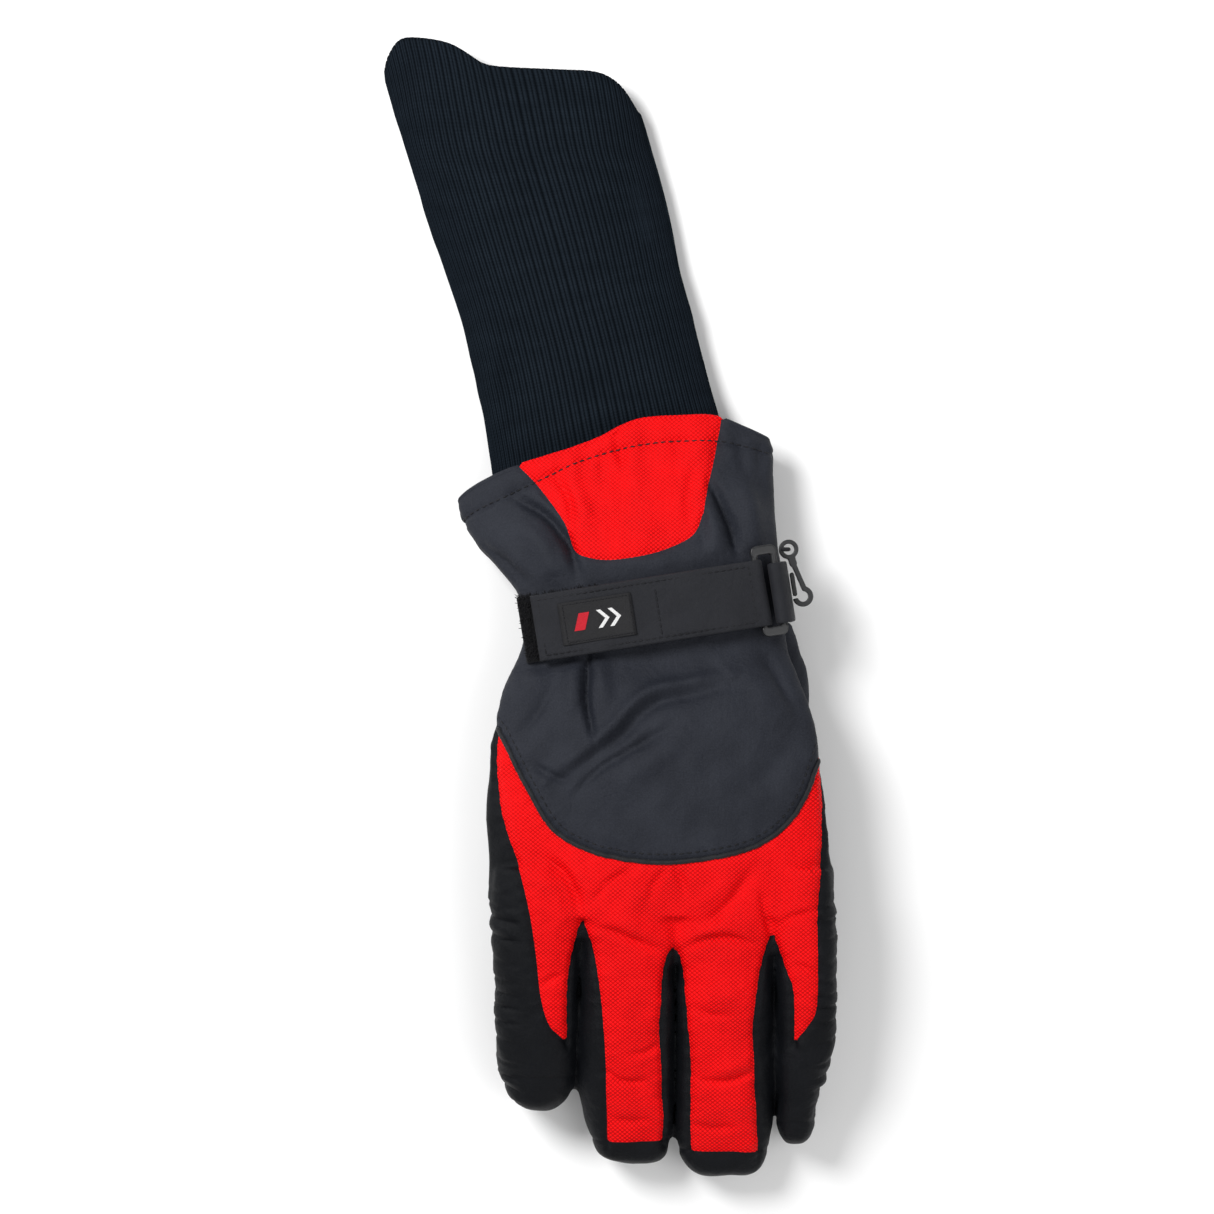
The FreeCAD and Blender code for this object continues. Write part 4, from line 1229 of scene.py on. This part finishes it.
def make_thumb():
    parts = [lofted(rings) for rings in thumb_rings()]
    rest, triangles = remeshed("thumb_blank", parts, VOXEL, 6)
    normals = vertex_normals(rest, triangles)
    points = rest + normals * thumb_shift(rest, normals)[:, None]
    points[:, 2] = np.maximum(points[:, 2], THUMB_FLOOR_GAP)
    layer = layer_of(*cut_by_label(rest, points, triangles, thumb_label))
    for name, looks in THUMB_LOOKS.items():
        bend_thumb(cloth_piece(name, layer, LAYER_THICKNESS, *looks))
    rest, triangles = remeshed("thumb_liner_blank", parts[:1], 2.6, 3)
    inner = rest - vertex_normals(rest, triangles) * 2.4
    layer = layer_of(rest, inner, triangles, np.full(len(triangles), "thumb_liner"))
    obj = cloth_piece("thumb_liner", layer, THIN, *FLEECE)
    bend_thumb(obj)


# ---------------------------------------------------------------- knit sleeve
KNIT_ROWS = (((-25, -1), (60, 3), 19.5, 33), ((-33, 14), (56.5, 20), 13, 30),
             ((-38, 27), (53, 39), 8.6, 25), ((-43.5, 46), (44.6, 66), 3.4, 18.6),
             ((-45.6, 58), (40.6, 80), 1.6, 16.6), ((-49.8, 84), (34.6, 103), 0.4, 14.8),
             ((-56.2, 109.1), (28.2, 127), 0.3, 13.8), ((-63.8, 132), (24.4, 147), 0.3, 13.4),
             ((-71, 154), (20.6, 163), 0.3, 13.6), ((-80.4, 184), (15.6, 180), 0.3, 13.8),
             ((-87.4, 207), (12, 190), 0.3, 14))
KNIT_MOUTH = ((0, 0), (0.02, 6.3), (0.07, 13), (0.15, 14.9), (0.26, 14.6), (0.34, 11.4), (0.40, 8.9),
              (0.50, 9.3), (0.70, 11.9), (0.81, 13.2), (0.88, 12.4), (0.94, 9), (1, 2))
KNIT_FOLDS = (  # points in plan, width, height
    (((38, 84), (22, 110), (12, 150), (2, 190)), 7, -0.7),
    (((-40, 66), (-44, 84), (-43, 98), (-47, 114)), 3.6, 2),
    (((-38, 112), (-31, 103), (-18, 99), (0, 98)), 4.6, -2.2),
    (((-36, 96), (-37, 84), (-34, 72)), 4, -1.4),
    (((-54, 130), (-50, 116), (-49, 100)), 4.5, 1),
    (((-30, 206), (-28, 180), (-20, 150)), 9, -0.8),
    (((-60, 212), (-58, 190), (-50, 160), (-44, 130)), 6, -1),
    (((20, 92), (4, 88), (-14, 82)), 6, -0.9),
    (((24, 112), (6, 108), (-10, 110)), 7, 0.8),
)
RIBS = 84
RIB_POINTS = 6  # points across one rib
KNIT_STEP = 2.0
KNIT_THICKNESS = 2.0


def knit_rings(around, inset):
    """Rings of the flat sleeve; the last ones reach out to the mouth's curved outline."""
    rows = sections(KNIT_ROWS, KNIT_STEP)
    angle = np.linspace(0, 2 * np.pi, around, endpoint=False)
    aside, up = rounded(np.cos(angle), 2.1), rounded(np.sin(angle), 2.6)
    mouth = smooth_line(np.array(KNIT_MOUTH) * [100, 1], 1.0) / [100, 1]
    end = np.interp((aside + 1) / 2, mouth[:, 0], mouth[:, 1])
    rings = []
    for k, (left, right, low, high) in enumerate(rows):
        half = (right - left) / 2
        plan = (left + right) / 2 + aside[:, None] * half * (1 - inset / np.linalg.norm(half))
        plan[:, 1] += ease(k / (len(rows) - 1), 0.86, 1.0) * end
        z = (low + high) / 2 + up * ((high - low) / 2 - inset)
        rings.append(np.column_stack([plan, z]))
    return np.array(rings)


def knit_waves(p):
    """Soft hollows and folds of the sleeve lying empty."""
    shift = 0.55 * noise_field(p, 55.0, 21) + 0.2 * noise_field(p, 17.0, 22)
    for points, width, height in KNIT_FOLDS:
        d, t = distance_to(p, smooth_line(points, 4.0))
        shift += height * bell(d, width) * np.sin(np.pi * np.clip(t, 0.03, 0.97)) ** 0.5
    return shift


def make_knit():
    around = RIBS * RIB_POINTS
    outer = knit_rings(around, 0.0)
    inner = knit_rings(RIBS, KNIT_THICKNESS)
    rows = len(outer)
    flat_rows = outer.reshape(-1, 3)
    side = np.roll(outer, -1, axis=1) - np.roll(outer, 1, axis=1)
    run = np.gradient(outer, axis=0)
    normal = unit(np.cross(side, run))
    centre = outer.mean(axis=1, keepdims=True)
    normal *= np.sign(((outer - centre) * normal).sum(axis=(1, 2)))[:, None, None]
    phase = np.arange(around) / RIB_POINTS  # counts ribs round the sleeve
    rib = 0.22 * np.abs(np.sin(2 * np.pi * phase)) ** 0.8 - 0.42 * np.abs(np.cos(np.pi * phase)) ** 8
    tight = ease(-flat_rows[:, 1].reshape(rows, -1), -80.0, -40.0)
    waves = knit_waves(flat_rows).reshape(rows, around) * np.clip(normal[..., 2] * 2, 0, 1) * (1 - tight)
    outer = outer + normal * (rib[None, :] + waves)[..., None]
    lip = ease(np.arange(rows), rows - 3.5, rows - 0.5)
    outer = outer - normal * (lip * 0.9)[:, None, None]
    outer[..., 2] = np.maximum(outer[..., 2], KNIT_FLOOR_GAP)
    vertices = np.vstack([outer.reshape(-1, 3), inner.reshape(-1, 3)])
    start = rows * around
    faces = tube_faces(rows, around) + tube_faces(rows, RIBS, False, start)
    for i, flip in ((0, True), (rows - 1, False)):
        for j in range(RIBS):
            ring = [i * around + (j * RIB_POINTS + q) % around for q in range(RIB_POINTS + 1)]
            face = ring + [start + i * RIBS + (j + 1) % RIBS, start + i * RIBS + j]
            faces.append(tuple(reversed(face)) if flip else tuple(face))
    obj = new_object("knit_sleeve_cloth", vertices * MM, faces)
    along = run_along(outer.mean(1))
    uv = np.vstack([np.column_stack([np.tile(phase, rows), np.repeat(along, around)]),
                    np.column_stack([np.tile(np.arange(RIBS, dtype=float), rows), np.repeat(along, RIBS)])])
    values = uv[corners_of(obj.data)]
    sizes = np.array([len(f) for f in faces])
    first = np.concatenate([[0], np.cumsum(sizes)[:-1]])
    highest = np.repeat(np.maximum.reduceat(values[:, 0], first), sizes)
    values[(values[:, 0] == 0) & (highest > RIBS / 2), 0] += RIBS  # the face that closes the tube
    set_weave(obj.data, values)
    finish_piece(obj, "knit", "knit")
    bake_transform(obj)
    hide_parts("knit_root", "knit_sleeve")


# ---------------------------------------------------------------- strap
STRAP_BOTTOM = 39.5
STRAP_WIDTH = 25.0
WEBBING = 1.4
RING_ALONG, RING_HEIGHT = 42.4, 3.4
BAR_ALONG = 3.7
WRAP = 1.3 + 0.15 + WEBBING / 2  # the bar's radius, its clearance and half the webbing
TAB_BASE = 4.85  # the tab's underside over the arch
PILE_TOP = 2.7
UP = np.array([0.0, 0.0, 1.0])


def strap_point(along, across, z):
    along, across, z = np.broadcast_arrays(np.asarray(along, float), across, z)
    plan = STRAP_MIDDLE + along[..., None] * STRAP_ALONG + across[..., None] * STRAP_ACROSS
    return np.concatenate([plan, z[..., None]], axis=-1)


def arch(height, start, end, spacing=1.2):
    """Points (along, z) on the wrist's arch at a height above its foot."""
    count = max(3, int(abs(end - start) / spacing))
    angle = np.linspace(math.asin(start / ARCH_RADIUS), math.asin(end / ARCH_RADIUS), count)
    radius = ARCH_RADIUS + height
    return np.column_stack([np.sin(angle) * radius, STRAP_BOTTOM - ARCH_RADIUS + np.cos(angle) * radius])


def arch_z(height, along):
    return STRAP_BOTTOM - ARCH_RADIUS + np.sqrt((ARCH_RADIUS + height) ** 2 - along ** 2)


def ring_centre(shift):
    angle = math.asin(RING_ALONG / ARCH_RADIUS)
    radius = ARCH_RADIUS + RING_HEIGHT
    centre = np.array([math.sin(angle) * radius, STRAP_BOTTOM - ARCH_RADIUS + math.cos(angle) * radius])
    return centre + shift * np.array([math.cos(angle), -math.sin(angle)]), angle


def band(line, width, thickness, shift=0.0, segments=14, wave=None):
    """A strap band along points (along, z)."""
    path = strap_point(line[:, 0], shift, line[:, 1])
    return ribbon_mesh(path, np.append(STRAP_ACROSS, 0.0), width, thickness, segments, wave)


def tab_line():
    top = arch(TAB_BASE + WEBBING / 2, -45.0, 38.0)
    bar, angle = ring_centre(-BAR_ALONG)
    turn = np.linspace(math.pi / 2, -math.pi / 2, 12) - angle
    wrap = bar + WRAP * np.column_stack([np.cos(turn), np.sin(turn)])
    return np.vstack([top, wrap])


def anchor_line():
    bar, angle = ring_centre(BAR_ALONG)
    turn = np.linspace(3 * math.pi / 2, math.pi / 2, 12) - angle
    wrap = bar + WRAP * np.column_stack([np.cos(turn), np.sin(turn)])
    run = np.array([(wrap[-1][0] + 0.6, wrap[-1][1] - 0.1), (48.3, bar[1] + 1.6), (49.9, bar[1] - 0.6),
                    (50.9, bar[1] - 6.5), (50.8, bar[1] - 14.0), (47.8, bar[1] - 21.5),
                    (41.0, bar[1] - 27.0)])
    return np.vstack([wrap[:-1], smooth_line(run, 1.2)])


def strap_stitches(name, line, **sizes):
    """A stitch row on the tab, through points (along, across, height over the arch)."""
    fine = resampled(line, 0.5)
    path = strap_point(fine[:, 0], fine[:, 1], arch_z(fine[:, 2], fine[:, 0]))
    finish_piece(flat_object(name, *stitches(path, UP, **sizes)), *THREAD, "strap_tab")


def flat_mark(name, outlines, height, thick, look):
    """Thin flat shapes lying on the label; outlines are points (along, across)."""
    parts = []
    for outline in outlines:
        outline = np.array(outline, float)
        count = len(outline)
        rows = [strap_point(*outline.T, arch_z(h, outline[:, 0])) for h in (height, height + thick)]
        faces = [tuple(range(count, 2 * count)), tuple(reversed(range(count)))]
        faces += [(j, (j + 1) % count, (j + 1) % count + count, j + count) for j in range(count)]
        parts.append((np.vstack(rows), faces))
    finish_piece(flat_object(name, *joined(parts), False), look, "label", "strap_tab")


def rectangle(along, across, height):
    (a, b), (c, d) = along, across
    return [(a, c, height), (b, c, height), (b, d, height), (a, d, height), (a, c, height)]


def make_tufts():
    """Loops of the pile tape that stand out where the strap leaves it bare."""
    rng = np.random.default_rng(12)
    parts = []
    for kind, count in (("end", 420), ("edge", 170)):
        for _ in range(count):
            if kind == "end":
                a, c = rng.uniform(-50.2, -45.6), rng.uniform(-11.9, 11.9)
            else:
                a, c = -50.0 + 30.0 * rng.uniform() ** 1.6, rng.uniform(11.5, 12.0)
            h = arch_z(PILE_TOP, a)
            lean, long = rng.normal(0, 0.6, 2), rng.uniform(0.7, 1.5)
            out = np.array([-0.9 * (a < -49.4), 1.1 * (c > 11.2)]) + lean
            steps = [strap_point(a + out[0] * k, c + out[1] * k, h + long * (1 - (1 - k) ** 2) * 0.8)
                     for k in (0, 0.5, 1)]
            parts.append(tube_mesh(steps, 0.17, 4))
    finish_piece(flat_object("strap_pile_tufts", *joined(parts)), *PILE, "hand")


def make_strap():
    def soft(t, a):
        return 0.16 * np.sin(t * 11.0 + a * 0.12) + 0.10 * np.sin(t * 27.0 - a * 0.2) - 0.22 * (a / 12.5) ** 4

    def fuzz(t, a):
        return 0.25 * np.sin(t * 190 + a * 2.1) * np.sin(a * 3.3 + t * 40) + 0.1 * np.sin(t * 61 + a)
    pieces = (
        ("strap_base", arch(0.9, -51.0, 35.2), STRAP_WIDTH, WEBBING, WEBBING_LOOK, "hand", None, 14),
        ("strap_pile_tape", arch(2.3, -50.4, 35.2, 0.8), 24.2, 1.5, PILE, "hand", fuzz, 40),
        ("strap_hook_tape", arch(4.15, -43.0, 2.0), 23.0, 1.3, PILE, "strap_tab", None, 14),
        ("strap_tab", tab_line(), STRAP_WIDTH, WEBBING, WEBBING_LOOK, "strap_tab", soft, 20),
        ("anchor_webbing", anchor_line(), 23.0, WEBBING, WEBBING_LOOK, "hand", None, 14),
    )
    for name, line, width, thick, looks, body, wave, segments in pieces:
        shift = -1.0 if name == "anchor_webbing" else 0.0
        obj = swept_object(name + "_cloth", band(line, width, thick, shift, segments, wave))
        finish_piece(obj, *looks, body, name)
    make_tufts()
    top = TAB_BASE + WEBBING
    label = swept_object("strap_label_cloth", band(arch(top + 0.3, -35.5, -8.5), 16.0, 0.6))
    finish_piece(label, "label", "label", "strap_tab", "strap_label")
    edge = STRAP_WIDTH / 2 - 2.0
    for name, line, length, gap in (
            ("strap_edge", rectangle((-43.4, 36.5), (-edge, edge), top - 0.1), 2.0, 0.7),
            ("strap_cross", [(0.6, -edge + 1, top), (0.6, edge - 1, top)], 2.0, 0.7),
            ("label_border", rectangle((-34.6, -9.4), (-7.1, 7.1), top + 0.6), 1.0, 0.35)):
        strap_stitches(name + "_stitches", line, length=length, gap=gap, radius=0.2)
    bar = [(-31.5, -3.2), (-27.5, -3.2), (-25.0, 3.2), (-29.0, 3.2)]
    flat_mark("label_bar", [bar], top + 0.62, 0.16, "label_red")
    chevrons = [[(a, -3.4), (a + 1.6, -3.4), (a + 4.6, 0.0), (a + 1.6, 3.4), (a, 3.4), (a + 3.0, 0.0)]
                for a in (-22.4, -18.0)]
    flat_mark("label_chevrons", chevrons, top + 0.62, 0.16, "label_white")


def soften(name, new_name, voxel, smoothing, looks, body):
    """A moulded piece: the frame's own shape with its sharp edges rounded off."""
    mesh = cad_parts[name].data.copy()
    mesh.materials.clear()
    obj = linked(new_name, mesh)
    mesh = voxel_mesh(obj, voxel, smoothing)
    obj.modifiers.clear()
    obj.data = mesh
    mesh.shade_smooth()
    finish_piece(plain_uv(obj), *looks, body, name)


def make_hardware():
    for name, voxel, smoothing in (("strap_ring", 0.32, 6), ("snap_hook", 0.25, 4), ("snap_gate", 0.22, 4)):
        soften(name, name + "_body", voxel, smoothing, PLASTIC, name)
    soften("clip_loop", "clip_loop_cord", 0.2, 3, ("piping", "piping"), "hand")


# ---------------------------------------------------------------- put it together
def make_stitching(tree):
    palm_hem = LINES["hem_palm"].copy()
    palm_hem[:, 1] -= HEM_STITCH_IN
    corners = np.array(GRIP_PATCH + GRIP_PATCH[:1])
    middle = corners[:-1].mean(0)
    grip = [resampled(middle + (corners - middle) * k, 1.5)[1:-1] for k in (0.955, 0.90)]
    for name, plans, above, length, gap, radius in (
            ("back_panel", [offset_line(LINES["back_seam"], 3.0)], True, 2.2, 0.9, 0.24),
            ("hem_back", [LINES["hem_stitch"]], True, 2.4, 0.7, 0.28),
            ("hem_palm", [palm_hem], False, 2.4, 0.7, 0.28),
            ("palm_grip", grip, False, 2.0, 0.9, 0.24)):
        surface_stitches(name + "_stitches", tree, plans, above, length=length, gap=gap, radius=radius)


shell = build_shell()
make_panels(shell)
make_hem(shell)
shell_tree = surface_tree(shell[1], shell[4][shell[5] != "waste"])
make_piping(shell_tree)
make_stitching(shell_tree)
make_liners()
make_thumb()
make_knit()
make_strap()
make_hardware()

# ---------------------------------------------------------------- stage
def add_light(name, place, size, power, aim=(0.0, 0.0, 0.0)):
    lamp = bpy.data.lights.new(name, "AREA")
    lamp.shape = "DISK"
    lamp.size = size
    lamp.energy = power
    obj = linked(name, lamp)
    obj.location = place
    obj.rotation_euler = (Vector(aim) - Vector(place)).to_track_quat("-Z", "Y").to_euler()


FLOOR_Z = -0.0006
FRAME_WIDTH = 0.462


def make_stage():
    corners = [(x, y, FLOOR_Z) for x, y in ((-2, -2), (2, -2), (2, 2), (-2, 2))]
    floor = new_object("floor", corners, [(0, 1, 2, 3)], False)
    floor.data.materials.append(Look("floor_paper", (0.9, 0.9, 0.9), 0.9).material)
    world = bpy.data.worlds.new("studio")
    world.use_nodes = True
    sky = world.node_tree.nodes["Background"].inputs
    sky["Color"].default_value = (1, 1, 1, 1)
    sky["Strength"].default_value = 0.36
    bpy.context.scene.world = world
    add_light("key", (-0.48, 0.38, 0.74), 0.42, 9.6)
    add_light("fill", (0.62, -0.2, 0.95), 0.9, 4.2)
    add_light("rim", (0.1, -0.9, 0.7), 0.6, 1.6)
    camera = bpy.data.cameras.new("camera")
    camera.lens = 85.0
    camera.sensor_width = 36.0
    view = linked("camera", camera)
    view.location = (-0.0005, 0.0, FRAME_WIDTH * camera.lens / camera.sensor_width + 0.025)
    bpy.context.scene.camera = view
    bpy.context.scene.view_settings.view_transform = "Standard"


make_stage()
